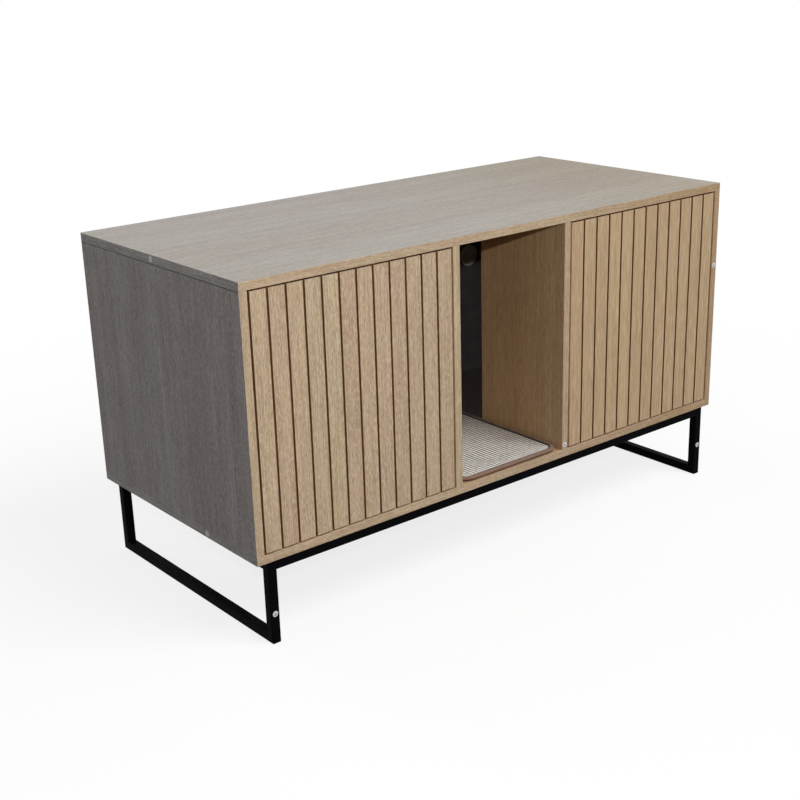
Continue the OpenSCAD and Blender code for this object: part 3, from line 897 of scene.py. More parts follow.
@dataclass(frozen=True)
class RibbedTape(Finish):
    """Brown grosgrain tape: fine ribs across it, on the tape's own map, with painted light on top and
    painted shade between the ribs.
    """

    colour: Colour = srgb(96, 60, 36)
    # Painted light on the tape's upward faces
    faded: Colour = srgb(150, 119, 99)
    # Tone of the fibres, and painted shade between the ribs
    valley: Colour = srgb(74, 50, 34)
    shadow: Colour = srgb(44, 30, 22)
    rib: float = 0.0009
    fold: float = 0.0056

    UNIFORM: ClassVar[dict[str, float]] = {"Sheen Weight": 0.2, "Sheen Roughness": 0.5}
    DEPTH: ClassVar[float] = 0.00018

    # Cells of the patches on the tape's map, and where a patch starts and is full
    CELLS: ClassVar[tuple] = (60.0, 220.0, 1.0)
    PATCHES: ClassVar[tuple] = (0.35, 0.7)
    # How far a face looks up where the painted top light starts and where it is full
    FADING: ClassVar[tuple] = (-0.25, 0.5)
    # How dark the painted shade between the ribs is, and where within its fold the field's painted shadow
    # falls
    VALLEYS: ClassVar[tuple] = (0.5, 0.0, 0.0, 0.7)
    SHADED: ClassVar[tuple] = (1.0, 0.6)
    SHADE: ClassVar[float] = 0.9
    # How much the patches, the fibres' tone and height weigh, and how the ribs change the roughness
    PATCHY: ClassVar[float] = 0.35
    HAIRY: ClassVar[float] = 0.25
    FIBROUS: ClassVar[float] = 0.3
    SMOOTHER: ClassVar[float] = -0.1

    def paint(self, brush: Brush) -> Coat:
        """Paints the ribs, with painted light on top, painted shade between the ribs and painted shadow
        where the tape meets the field.

        Args:
            brush: The brush on the material.

        Returns:
            The coat.
        """
        chart = brush.add("ShaderNodeUVMap", uv_map=Mat.TAPE_MAP).outputs["UV"]
        along, across, _ = brush.split(chart)
        turns = brush.times(brush.math("DIVIDE", along, self.rib), math.pi)
        rib = brush.math("ABSOLUTE", brush.math("SINE", turns))
        hair = brush.hair(brush.join(across, along, 0.0))
        patches = brush.span(brush.noise(chart, self.CELLS, 3.0), *self.PATCHES)
        upward = brush.split(brush.normal)[2]
        # Painted light: upward faces paler
        colour = brush.mix(brush.span(upward, *self.FADING), self.colour, self.faded)
        colour = brush.lay(colour, patches, self.PATCHY, self.colour)
        colour = brush.lay(colour, hair["Tone"], self.HAIRY, self.valley)
        # Painted shade between the ribs
        colour = brush.mix(brush.span(rib, *self.VALLEYS), colour, self.valley)
        inner = brush.span(across, *(share * self.fold for share in self.SHADED), 0.0, self.SHADE)
        colour = brush.mix(inner, colour, self.shadow)
        height = brush.shift(rib, hair["Height"], self.FIBROUS)
        return Coat(colour, brush.shift(self.matt, rib, self.SMOOTHER), height)


@dataclass(frozen=True)
class SewingThread(Finish):
    """Two-ply sewing thread."""

    colour: Colour = srgb(92, 70, 52)
    shaded: Colour = srgb(60, 42, 30)
    turn: float = 0.0008

    WORN: ClassVar[float] = 0.4
    SMOOTHER: ClassVar[float] = -0.15
    DEPTH: ClassVar[float] = 0.0001

    def paint(self, brush: Brush) -> Coat:
        """Paints the two plies and their fibres.

        Args:
            brush: The brush on the material.

        Returns:
            The coat.
        """
        lay = brush.times(brush.math("ADD", *brush.split(brush.place)[:2]), math.tau / self.turn)
        ply = brush.math("MULTIPLY_ADD", brush.math("SINE", lay), 0.5, 0.5)
        worn = brush.times(brush.hair(brush.place)["Tone"], self.WORN)
        colour = brush.mix(worn, brush.mix(ply, self.shaded, self.colour), self.shaded)
        return Coat(colour, brush.shift(self.matt, ply, self.SMOOTHER), ply)


def deselect_all() -> None:
    bpy.ops.object.select_all(action="DESELECT")


def select_only(piece: bpy.types.Object) -> None:
    """Selects one object and makes it active.

    Args:
        piece: The object.
    """
    deselect_all()
    piece.select_set(True)
    bpy.context.view_layer.objects.active = piece


def apply_place() -> None:
    """Puts the place, turn and size of the selected piece into its mesh."""
    bpy.ops.object.transform_apply(location=True, rotation=True, scale=True)


@contextmanager
def editing(piece: bpy.types.Object, kind: str) -> Iterator[None]:
    """Opens a piece in edit mode for a with block.

    Args:
        piece: The piece.
        kind: What is picked in it: VERT, EDGE or FACE.

    Yields:
        Nothing: the piece is open meanwhile.
    """
    select_only(piece)
    bpy.ops.object.mode_set(mode="EDIT")
    bpy.ops.mesh.select_mode(type=kind)
    yield
    bpy.ops.object.mode_set(mode="OBJECT")


def face_outward(piece: bpy.types.Object) -> None:
    """Turns the faces of a closed piece outwards.

    Args:
        piece: The piece.
    """
    with editing(piece, "FACE"):
        bpy.ops.mesh.select_all(action="SELECT")
        bpy.ops.mesh.normals_make_consistent(inside=False)


def add_piece(name: str, points: list, faces: list) -> bpy.types.Object:
    """Makes a piece from its points and faces.

    Args:
        name: Its name.
        points: Its points.
        faces: The numbers of each face's points.

    Returns:
        The piece.
    """
    mesh = bpy.data.meshes.new(name)
    mesh.from_pydata(points, [], faces)
    piece = bpy.data.objects.new(name, mesh)
    bpy.context.scene.collection.objects.link(piece)
    return piece


def points_of(mesh: bpy.types.Mesh) -> np.ndarray:
    """Reads where a mesh's points are.

    Args:
        mesh: The mesh.

    Returns:
        X, Y and Z of each point, one row each.
    """
    points = np.zeros(len(mesh.vertices) * 3)
    mesh.vertices.foreach_get("co", points)
    return points.reshape(-1, 3)


def walked(path: np.ndarray) -> np.ndarray:
    """Measures how far along a path each of its points lies."""
    return np.concatenate([[0.0], np.cumsum(np.linalg.norm(np.diff(path, axis=0), axis=1))])


def both(name: str) -> list[str]:
    """Names the left and the right node of a pair."""
    return [f"left_{name}", f"right_{name}"]


class Assembly:
    """A sub-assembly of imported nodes, whose shapes are the CAD's and whose finishes are given here."""

    def finishes(self) -> list[tuple[list[str], Finish]]:
        """Lists nodes with the finish that they wear."""
        raise NotImplementedError

    def dress(self, effects: Effects) -> None:
        """Gives every node its finish.

        Args:
            effects: The shared groups.
        """
        for nodes, finish in self.finishes():
            material = finish.build(effects)
            for name in nodes:
                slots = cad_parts[name].data.materials
                slots.clear()
                slots.append(material)
                LOG.info("%s wears %s", name, material.name)


@dataclass
class Carcass(Assembly):
    """Boards of the cabinet, its back panel with the plug, and the fittings inside the boards."""

    matt: float = 0.52
    shine: float = 0.25

    # Each board with the run of its grain, and how quickly the grain changes along it
    BOARDS: ClassVar[tuple] = (
        ("top_panel", Grain.ACROSS, 1.0),
        ("bottom_panel", Grain.ACROSS, 1.0),
        ("left_side_panel", Grain.UPRIGHT, 1.2),
        ("right_side_panel", Grain.UPRIGHT, 1.2),
        ("left_divider", Grain.UPRIGHT, 0.5),
        ("right_divider", Grain.UPRIGHT, 0.5),
    )

    def _boards(self) -> list[tuple[list[str], Finish]]:
        """Gives each board grain of its own, the sides their seams and the floor its charcoal behind the
        dividers.

        Returns:
            The boards with their finishes.
        """
        low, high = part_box("top_panel")
        divider_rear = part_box("left_divider")[1].y
        pairs = []
        for seed, (node, grain, pace) in enumerate(self.BOARDS, start=1):
            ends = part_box(node)
            seams = (ends[0].z, ends[1].z) if node.endswith("side_panel") else None
            lined_from = divider_rear if node == "bottom_panel" else None
            look = (self.matt, self.shine, grain, pace, float(seed))
            finish = ShellOak(f"oak_{node}", *look, high.x, high.z, low.y, lined_from, seams)
            pairs.append(([node], finish))
        return pairs

    def finishes(self) -> list[tuple[list[str], Finish]]:
        """Lists the boards and fittings with their finishes.

        Returns:
            Names of nodes, with the finish that they wear.
        """
        charcoal = LacqueredBoard("charcoal_lacquer", 0.6, self.shine, srgb(84, 78, 80), srgb(92, 86, 87))
        plug = Moulded("plug_plastic", 0.45, 0.3, srgb(224, 220, 212), srgb(206, 201, 192))
        zinc = Plated("zinc_fittings", 0.35, 0.5, srgb(196, 199, 204), srgb(160, 162, 166))
        return self._boards() + [
            (["back_panel"], charcoal),
            (["cable_hole_plug"], plug),
            (["cam_locks", "cam_bolts"], zinc),
            (["panel_dowels"], RawBeech("raw_beech", 0.7, 0.3)),
        ]


@dataclass
class SledBase(Assembly):
    """Welded square tube under the carcass, and the screws that hold it."""

    matt: float = 0.5

    def finishes(self) -> list[tuple[list[str], Finish]]:
        """Lists the tubes and screws with their finishes.

        Returns:
            Names of nodes, with the finish that they wear.
        """
        coat = PowderCoat("black_powder_coat", self.matt, 0.01, srgb(9, 9, 11), srgb(12, 12, 14))
        screws = Plated("zinc_base_screws", 0.4, 0.5, srgb(190, 193, 198), srgb(150, 152, 156))
        tubes = [name for part in ("front_leg", "rear_leg", "skid", "top_tube") for name in both(part)]
        return [(tubes + ["front_rail", "rear_rail"], coat), (["base_screws"], screws)]


@dataclass
class SlattedDoors(Assembly):
    """Two inset doors of slats on a board, with their pivots."""

    slat_count: int = 12
    slat_gap: float = 0.004

    def finishes(self) -> list[tuple[list[str], Finish]]:
        """Lists the doors and pivots with their finishes, the slats' told apart by their pitch.

        Returns:
            Names of nodes, with the finish that they wear.
        """
        low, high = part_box("right_door_slats")
        pitch = (high.x - low.x + self.slat_gap) / self.slat_count
        first = low.x - self.slat_gap / 2
        board = LacqueredBoard("brown_door_board", 0.55, 0.3, srgb(112, 77, 42), srgb(122, 86, 50))
        nylon = Moulded("brown_nylon", 0.5, 0.3, srgb(96, 70, 48), srgb(82, 60, 42))
        pins = Plated("browned_steel_pins", 0.5, 0.4, srgb(72, 62, 52), srgb(54, 46, 38))
        return [
            (both("door_slats"), SlatOak("oak_slats", 0.52, 0.35, first, pitch, self.slat_gap)),
            (both("door_board"), board),
            (both("pivot_bushes"), nylon),
            (both("pivot_pins"), pins),
        ]


@dataclass
class PushLatches(Assembly):
    """Housings, plungers and magnets on the dividers, and the strike plates on the doors."""

    matt: float = 0.42
    shine: float = 0.45

    def finishes(self) -> list[tuple[list[str], Finish]]:
        """Lists the parts of the latches with their finishes.

        Returns:
            Names of nodes, with the finish that they wear.
        """
        pale, grey = (srgb(206, 202, 194), srgb(190, 185, 176)), (srgb(186, 182, 174), srgb(170, 165, 156))
        nickel = Plated("nickel_magnets", 0.22, 0.5, srgb(178, 180, 184), srgb(140, 140, 142))
        steel = Plated("zinc_strike_plates", 0.36, 0.5, srgb(184, 187, 192), srgb(148, 150, 154))
        return [
            (both("latch_housing"), Moulded("latch_housing_plastic", self.matt, self.shine, *pale)),
            (both("latch_plunger"), Moulded("latch_plunger_plastic", self.matt, self.shine, *grey)),
            (both("latch_magnet"), nickel),
            (both("strike_plate") + both("strike_screw") + ["latch_screws"], steel),
        ]


@dataclass
class Mat:
    """Woven mat of the niche: a field of thick yarn, a folded tape round its edge and the seam."""

    # The field: its yarns, how they go over and under, and how uneven they are
    yarn: float = 0.008
    steps: int = 6
    sway: float = 0.0011
    bulge: float = 0.0012
    waver: float = 0.0003
    knot: float = 0.16
    roundness: float = 1.96
    ripple: float = 0.00012
    sink: float = 0.00015
    # The field's rim: tucked under the tape, pressed flat there, deepened for painted shade next to the
    # tape, cut round and drawn down
    tuck: float = 0.006
    press: float = 0.0008
    press_start: float = 0.001
    press_reach: float = 0.003
    rim_depth: float = 0.6
    trim: float = 0.0005
    drop: float = 0.004
    # The tape: its width, the corners' radius, its thickness, its edges, its fold and its gathers
    band: float = 0.011
    corner: float = 0.028
    tape: float = 0.0008
    skirt_sink: float = 0.0004
    skirt_gap: float = 0.0002
    hem_back: float = 0.0006
    hem_width: float = 0.0005
    fold_steps: int = 8
    tape_step: float = 0.004
    gather: float = 0.00022
    gather_pitch: float = 0.0036
    drift: float = 0.00025
    drift_waves: tuple[float, float] = (61.0, 23.0)
    crease: float = 50.0
    # The gap between the field and the tape under it, and how far the mat starts before its solid
    air: float = 0.0001
    slack: float = 0.003
    # The seam: where it runs, the dip that it pulls the tape into, and its stitches
    seam_inset: float = 0.0088
    seam_dip: float = 0.0007
    dip_reach: float = 0.0016
    dip_start: float = 0.00015
    seam_step: float = 0.001
    stitch: float = 0.0036
    stitch_pitch: float = 0.005
    thread: float = 0.0003
    flatness: tuple[float, float] = (0.7, 0.6)
    stitch_rise: float = 0.25
    bead_sides: int = 8
    bead_rings: int = 6

    TAPE_MAP: ClassVar[str] = "tape_map"
    TONE: ClassVar[str] = "yarn_tone"
    DEPTH: ClassVar[str] = "yarn_depth"
    PLACE: ClassVar[str] = "yarn_place"
    MOST_YARNS: ClassVar[int] = 400
    WEFT_NUMBER: ClassVar[int] = 500
    YARN_STEP: ClassVar[float] = 0.37
    LIP: ClassVar[Profile] = [(0.0, 0.0), (0.0004, 0.0007), (0.0014, 0.0010)]
    HEM: ClassVar[Profile] = [(0.0005, 0.0), (0.0, 0.0004)]
    WARP_TINT: ClassVar[float] = 0.3
    WEFT_TINT: ClassVar[tuple[float, float]] = (0.1, 0.4)
    KNOT_TINT: ClassVar[float] = 0.25

    def __post_init__(self) -> None:
        """Reads the mat's place from the frame."""
        self.low, self.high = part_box("mat_binding")
        self.low.y -= self.slack
        self.field_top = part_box("mat_weave")[1].z
        self.centre = (self.low + self.high) / 2
        self.half = (self.high - self.low) / 2

    def build(self, effects: Effects) -> None:
        """Args:
            effects: The shared groups.
        """
        field = self._field()
        tape = self._tape()
        seam = self._seam()
        field.data.materials.append(WovenSisal("woven_sisal", 0.85, 0.2).build(effects))
        tape.data.materials.append(RibbedTape("brown_edge_tape", 0.75, 0.25).build(effects))
        seam.data.materials.append(SewingThread("brown_thread", 0.6, 0.3).build(effects))
        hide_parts("mat_weave")
        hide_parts("mat_binding")
        for piece in (field, tape, seam):
            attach(piece, "mat")
            LOG.info("%s built, %d faces", piece.name, len(piece.data.polygons))

    def _relief(self, x: np.ndarray, y: np.ndarray) -> tuple[np.ndarray, ...]:
        """Works out the woven surface, in which each yarn goes over one and under the next.

        Args:
            x: Places across the mat, from its middle.
            y: Places along the mat, from its middle.

        Returns:
            Height of the upper yarn from 0, the deepest, to 1, its tone, and the place on it: along
            it, across it, and a number that differs from yarn to yarn.
        """
        chance = np.random.RandomState(RANDOM_SEED)
        tones = chance.rand(2, self.MOST_YARNS)
        knots = chance.rand(self.MOST_YARNS, self.MOST_YARNS)
        # Each set of yarns wavers on two waves, so that none of them runs dead straight
        u = (x + self.waver * (np.sin(97 * y + 0.7) + np.sin(211 * y + 31 * x))) / self.yarn
        v = (y + self.waver * (np.sin(83 * x + 2.1) + np.sin(187 * x + 23 * y))) / self.yarn
        warp, weft = np.floor(u), np.floor(v)
        middle_u, middle_v = u - warp - 0.5, v - weft - 0.5
        warp_high = self._lift(v, warp, middle_u, 1.0)
        weft_high = self._lift(u, weft, middle_v, -1.0)
        upper_warp = warp_high > weft_high
        height = np.where(upper_warp, warp_high, weft_high) / (self.sway + self.bulge)
        warp_index = warp.astype(int) + self.MOST_YARNS // 2
        weft_index = weft.astype(int) + self.MOST_YARNS // 2
        weft_tone = self.WEFT_TINT[0] + self.WEFT_TINT[1] * tones[1][weft_index]
        knot = knots[warp_index, weft_index]
        tone = np.where(upper_warp, self.WARP_TINT * tones[0][warp_index], weft_tone)
        tone += self.KNOT_TINT * knot
        height -= self.knot * knot * np.cos(np.pi * middle_u) * np.cos(np.pi * middle_v)
        place = (
            np.where(upper_warp, y, x),
            np.where(upper_warp, middle_u, middle_v) * self.yarn,
            np.where(upper_warp, warp_index, self.WEFT_NUMBER + weft_index) * self.YARN_STEP,
        )
        return height, tone, np.stack(place, axis=1)

    def _lift(self, along: np.ndarray, number: np.ndarray, across: np.ndarray, phase: float) -> np.ndarray:
        """Works out how high one set of yarns lies, by its sway over and under and its round back."""
        sway = phase * np.cos(np.pi * (along - 0.5)) * np.where(np.mod(number, 2) < 1, 1.0, -1.0)
        return self.sway * sway + self.bulge * np.sqrt(1 - (self.roundness * across) ** 2)

    def _field(self) -> bpy.types.Object:
        """Models the woven field, tucked under the tape all round.

        Returns:
            The field.
        """
        cell = self.yarn / self.steps
        reaches = (self.half.x - self.band + self.tuck, self.half.y - self.band + self.tuck)
        columns, rows = (round(2 * reach / cell) for reach in reaches)
        cells = {"x_subdivisions": columns, "y_subdivisions": rows}
        deselect_all()
        bpy.ops.mesh.primitive_grid_add(**cells, size=1.0, location=(self.centre.x, self.centre.y, 0.0))
        field = bpy.context.object
        field.name = "mat_woven_field"
        field.scale = (columns * cell, rows * cell, 1.0)
        apply_place()
        self._trim_corners(field, self._weave(field.data))
        self._close_below(field)
        select_only(field)
        bpy.ops.object.shade_smooth()
        return field

    def _weave(self, mesh: bpy.types.Mesh) -> np.ndarray:
        """Raises the yarns from a flat mesh, and notes their tones, depths and places on it; the depths
        grow next to the tape, for painted shade there.

        Args:
            mesh: The flat mesh.

        Returns:
            How far each point lies inside the mat's outline.
        """
        places = points_of(mesh)
        x, y = places[:, 0] - self.centre.x, places[:, 1] - self.centre.y
        height, tone, spots = self._relief(x, y)
        inward = self._inward(x, y)
        free = np.clip((inward - self.band + self.press_start) / self.press_reach, 0.0, 1.0)
        ripple = self.ripple * np.sin(41 * x + 1.3) * np.sin(23 * y + 0.4)
        thickness = self.sway + self.bulge
        places[:, 2] = self.field_top - thickness * (1 - height) - self.sink + ripple
        places[:, 2] -= (1 - free) * (self.press * height)
        mesh.vertices.foreach_set("co", places.ravel())
        # Next to the tape the depth grows beyond the yarn's, which paints shade there
        depth = 1 - height + self.rim_depth * (1 - free)
        for name, values in ((self.TONE, tone), (self.DEPTH, depth)):
            mesh.attributes.new(name, "FLOAT", "POINT").data.foreach_set("value", values.astype(np.float32))
        layer = mesh.attributes.new(self.PLACE, "FLOAT_VECTOR", "POINT")
        layer.data.foreach_set("vector", spots.astype(np.float32).ravel())
        return inward

    def _inward(self, x: np.ndarray, y: np.ndarray) -> np.ndarray:
        """Measures how far points lie inside the mat's rounded outline.

        Args:
            x: Places across the mat, from its middle.
            y: Places along the mat, from its middle.

        Returns:
            The distances, negative outside.
        """
        over_x = np.abs(x) - (self.half.x - self.corner)
        over_y = np.abs(y) - (self.half.y - self.corner)
        outside = np.hypot(np.maximum(over_x, 0), np.maximum(over_y, 0))
        inside = np.minimum(np.maximum(over_x, over_y), 0)
        return self.corner - outside - inside

    def _trim_corners(self, field: bpy.types.Object, inward: np.ndarray) -> None:
        """Cuts the field's corners round.

        Args:
            field: The field.
            inward: How far each of its points lies inside the outline.
        """
        mesh = field.data
        mesh.vertices.foreach_set("select", inward < self.band - self.tuck - self.trim)
        mesh.edges.foreach_set("select", np.zeros(len(mesh.edges), bool))
        mesh.polygons.foreach_set("select", np.zeros(len(mesh.polygons), bool))
        with editing(field, "VERT"):
            bpy.ops.mesh.delete(type="VERT")

    def _close_below(self, field: bpy.types.Object) -> None:
        """Draws the field's rim down to the mat's underside and closes it there.

        Args:
            field: The field.
        """
        with editing(field, "EDGE"):
            bpy.ops.mesh.select_all(action="DESELECT")
            others = dict.fromkeys(("use_wire", "use_multi_face", "use_non_contiguous", "use_verts"), False)
            bpy.ops.mesh.select_non_manifold(extend=False, use_boundary=True, **others)
            bpy.ops.mesh.extrude_region_move(TRANSFORM_OT_translate={"value": (0.0, 0.0, -self.drop)})
            bpy.ops.mesh.edge_face_add()
        for index in {index for face in field.data.polygons if face.select for index in face.vertices}:
            field.data.vertices[index].co.z = self.low.z + self.tape + self.air
        face_outward(field)

    def _path(self, inset: float, spacing: float) -> tuple[np.ndarray, np.ndarray, np.ndarray]:
        """Walks once round the mat at a distance inside its edge.

        Args:
            inset: Distance inside the edge.
            spacing: Rough distance between two points of the walk.

        Returns:
            The points as X and Y, the outward directions there, and how far round a corner each
            point is, from 0 on the straights to 1 in the middle of a corner.
        """
        radius = self.corner - inset
        points, outward, bend = [], [], []
        reach_x, reach_y = self.half.x - self.corner, self.half.y - self.corner
        corners = [(1, -1, -90), (1, 1, 0), (-1, 1, 90), (-1, -1, 180)]
        middles = [Vector((side * reach_x, end * reach_y, 0.0)) for side, end, _ in corners]
        arc_steps = max(6, round(radius * math.pi / 2 / spacing))
        for index, (_, _, start) in enumerate(corners):
            for step in range(arc_steps + 1):
                angle = math.radians(start + 90 * step / arc_steps)
                way = Vector((math.cos(angle), math.sin(angle), 0.0))
                points.append(middles[index] + radius * way)
                outward.append(way)
                bend.append(math.sin(math.pi * step / arc_steps))
            origin = points[-1]
            target = middles[(index + 1) % len(middles)] + radius * way
            straight = max(2, round((target - origin).length / spacing))
            for step in range(1, straight):
                points.append(origin.lerp(target, step / straight))
                outward.append(way)
                bend.append(0.0)
        flat = np.array([(point.x + self.centre.x, point.y + self.centre.y) for point in points])
        return flat, np.array([(way.x, way.y) for way in outward]), np.array(bend)

    def _fold(self, radius: float, middle: float) -> Profile:
        """Draws a half circle round the mat's edge, from above to below."""
        angles = [math.pi * step / self.fold_steps for step in range(self.fold_steps + 1)]
        return [(middle - radius * math.sin(angle), middle + radius * math.cos(angle)) for angle in angles]

    def _tape_profile(self) -> Profile:
        """Draws the tape's section as inset from the edge and height above the mat's underside.

        Returns:
            The closed section: over the top, round the edge, underneath, and back inside.
        """
        high = self.high.z - self.low.z
        skirt = self.field_top - self.low.z - self.skirt_sink
        outer = [(self.band - back, skirt + rise) for back, rise in self.LIP]
        outer.append((self.seam_inset, high - self.seam_dip))
        outer.append((self.seam_inset - self.dip_reach, high - self.dip_start))
        outer += self._fold(high / 2, high / 2)
        outer += [(self.band - back, rise) for back, rise in self.HEM]
        inner = [(self.band - self.hem_back, self.tape)]
        inner += reversed(self._fold(high / 2 - self.tape, high / 2))
        return outer + inner + [(self.seam_inset, skirt + self.skirt_gap)]

    def _tape(self) -> bpy.types.Object:
        """Models the folded tape, with small gathers round the corners.

        Returns:
            The tape.
        """
        profile = self._tape_profile()
        path, outward, bend = self._path(0.0, self.tape_step)
        length, spread = walked(path), walked(np.array(profile))
        vertices = []
        for spot, out, turn, walk in zip(path, outward, bend, length):
            gather = self.gather * turn * math.sin(walk * math.tau / self.gather_pitch)
            quick, slow = (walk * wave for wave in self.drift_waves)
            waver = self.drift * math.sin(quick) * math.sin(slow + 1)
            for inset, height in profile:
                share = inset / self.band
                lift = gather * share if height > self.half.z else 0.0
                x, y = spot - out * (inset + waver * share**4)
                vertices.append((x, y, self.low.z + height + min(lift, 0.0)))
        length = np.append(length, length[-1] + np.linalg.norm(path[0] - path[-1]))
        faces, chart = self._cover(length, np.append(spread, spread[-1] + self.hem_width))
        tape = add_piece("mat_edge_tape", vertices, faces)
        layer = tape.data.uv_layers.new(name=self.TAPE_MAP)
        layer.data.foreach_set("uv", np.array(chart, dtype=np.float32).ravel())
        face_outward(tape)
        bpy.ops.object.shade_smooth_by_angle(angle=math.radians(self.crease))
        return tape

    @staticmethod
    def _cover(length: np.ndarray, spread: np.ndarray) -> tuple[list, list]:
        """Lays faces between the sections of the tape, with their places on the tape's map.

        Args:
            length: How far along the tape each section is, ending with the first one again.
            spread: How far round its section each point is, ending with the first one again.

        Returns:
            The faces, and the places of their corners on the map.
        """
        rings, across = len(length) - 1, len(spread) - 1
        faces, chart = [], []
        for ring in range(rings):
            start, end = length[ring], length[ring + 1]
            for step in range(across):
                near, far = spread[step], spread[step + 1]
                after, beyond = (ring + 1) % rings, (step + 1) % across
                spots = ((ring, step), (ring, beyond), (after, beyond), (after, step))
                faces.append(tuple(row * across + column for row, column in spots))
                chart += [(start, near), (start, far), (end, far), (end, near)]
        return faces, chart

    def _seam(self) -> bpy.types.Object:
        """Sews the tape down with a row of stitches.

        Returns:
            The stitches.
        """
        deselect_all()
        sides = {"segments": self.bead_sides, "ring_count": self.bead_rings}
        bpy.ops.mesh.primitive_uv_sphere_add(**sides, radius=1.0)
        sample = bpy.context.object
        bead = np.array([vertex.co for vertex in sample.data.vertices])
        bead *= (self.thread * self.flatness[0], self.stitch / 2, self.thread * self.flatness[1])
        faces = [tuple(face.vertices) for face in sample.data.polygons]
        bpy.data.objects.remove(sample)
        path, outward, _ = self._path(self.seam_inset, self.seam_step)
        length = walked(path)
        count = round(length[-1] / self.stitch_pitch)
        level = self.high.z - self.seam_dip + self.thread * self.stitch_rise
        vertices, joined = [], []
        for number in range(count):
            nearest = int(np.searchsorted(length, (number + 0.5) * length[-1] / count))
            out = outward[nearest]
            side = np.array((-out[1], out[0]))
            base = len(vertices)
            for x, y, z in bead:
                spot = path[nearest] + out * x + side * y
                vertices.append((spot[0], spot[1], level + z))
            joined += [tuple(base + index for index in face) for face in faces]
        seam = add_piece("mat_edge_seam", vertices, joined)
        select_only(seam)
        bpy.ops.object.shade_smooth()
        return seam


@dataclass(frozen=True)
class Label:
    """One round label: its name and number, the node and side that carry it, its place and its tilt."""

    name: str
    number: int
    node: str
    facing: Facing
    along: float
    tilt: float

    def place(self) -> tuple[float, float, float]:
        """Finds the label's middle, from its height on a front or its Y on a left side.

        Returns:
            The place, on the surface of the node.
        """
        low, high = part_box(self.node)
        if self.facing is Facing.LEFT:
            return (low.x, self.along, (low.z + high.z) / 2)
        return ((low.x + high.x) / 2, low.y, self.along)

    def turn(self) -> Euler:
        """Gives the turn that stands the label upright on its side of the furniture."""
        tilt = Euler((0.0, 0.0, math.radians(self.tilt))).to_matrix()
        return (Euler(self.facing.value).to_matrix() @ tilt).to_euler()


@dataclass
class NumberLabels:
    """Small round labels with plain numbers on the narrow faces of boards and legs."""

    radius: float = 0.0055
    paper: float = 0.00012
    bevel: float = 0.00004
    digit: float = 0.008
    ink: float = 0.00002
    rim_sides: int = 48
    rim_steps: int = 2
    upward: float = 0.9
    crease: float = 40.0

    LABELS: ClassVar[tuple[Label, ...]] = (
        Label("label_top_panel", 5, "top_panel", Facing.LEFT, 0.0075, 3.0),
        Label("label_bottom_panel", 6, "bottom_panel", Facing.LEFT, -0.109, -4.0),
        Label("label_left_leg", 8, "left_front_leg", Facing.FRONT, 0.0565, -12.0),
        Label("label_divider", 4, "right_divider", Facing.FRONT, 0.183, 5.0),
        Label("label_side_panel", 2, "right_side_panel", Facing.FRONT, 0.476, 0.0),
        Label("label_right_leg", 9, "right_front_leg", Facing.FRONT, 0.0690, 8.0),
    )

    def build(self, effects: Effects) -> None:
        """Makes every label and sticks it on.

        Args:
            effects: The shared groups.
        """
        paper = PrintedPaper("label_paper", 0.6, 0.4).build(effects)
        ink = PrintedPaper("label_ink", 0.5, 0.4, srgb(48, 46, 50), srgb(70, 68, 72)).build(effects)
        for label in self.LABELS:
            disc = self._disc(label)
            digit = self._digit(label)
            disc.data.materials.append(paper)
            digit.data.materials.append(ink)
            select_only(disc)
            digit.select_set(True)
            bpy.ops.object.join()
            disc.name = label.name
            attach(disc, "cabinet")
            LOG.info("%s built, number %d", label.name, label.number)

    def _disc(self, label: Label) -> bpy.types.Object:
        """Cuts the round paper, with a softened rim.

        Args:
            label: The label.

        Returns:
            The paper.
        """
        deselect_all()
        sizes = {"vertices": self.rim_sides, "radius": self.radius, "depth": self.paper}
        bpy.ops.mesh.primitive_cylinder_add(**sizes, location=(0.0, 0.0, self.paper / 2))
        disc = bpy.context.object
        with editing(disc, "FACE"):
            bpy.ops.mesh.select_all(action="DESELECT")
        for face in disc.data.polygons:
            face.select = face.normal.z > self.upward
        with editing(disc, "FACE"):
            bpy.ops.mesh.bevel(offset=self.bevel, segments=self.rim_steps, affect="EDGES")
        self._stick(disc, label)
        bpy.ops.object.shade_smooth_by_angle(angle=math.radians(self.crease))
        return disc

    def _digit(self, label: Label) -> bpy.types.Object:
        """Prints the number as thin raised ink.

        Args:
            label: The label.

        Returns:
            The number.
        """
        deselect_all()
        bpy.ops.object.text_add(location=(0.0, 0.0, 0.0))
        text = bpy.context.object.data
        text.body = str(label.number)
        text.size = self.digit
        text.align_x = "CENTER"
        text.align_y = "CENTER"
        text.extrude = self.ink / 2
        bpy.ops.object.convert(target="MESH")
        digit = bpy.context.object
        middle = sum((vertex.co for vertex in digit.data.vertices), Vector()) / len(digit.data.vertices)
        digit.location = (-middle.x, -middle.y, self.paper + self.ink / 2)
        apply_place()
        self._stick(digit, label)
        return digit

    @staticmethod
    def _stick(piece: bpy.types.Object, label: Label) -> None:
        """Turns a flat piece to its side of the furniture and moves it there.

        Args:
            piece: The piece, lying flat round the origin.
            label: The label that it belongs to.
        """
        select_only(piece)
        apply_place()
        piece.rotation_euler = label.turn()
        piece.location = label.place()
        apply_place()


class Lamp(NamedTuple):
    """A soft square lamp: its place, its edge, and how bright it alone shows a white surface."""

    name: str
    place: tuple[float, float, float]
    edge: float
    level: float


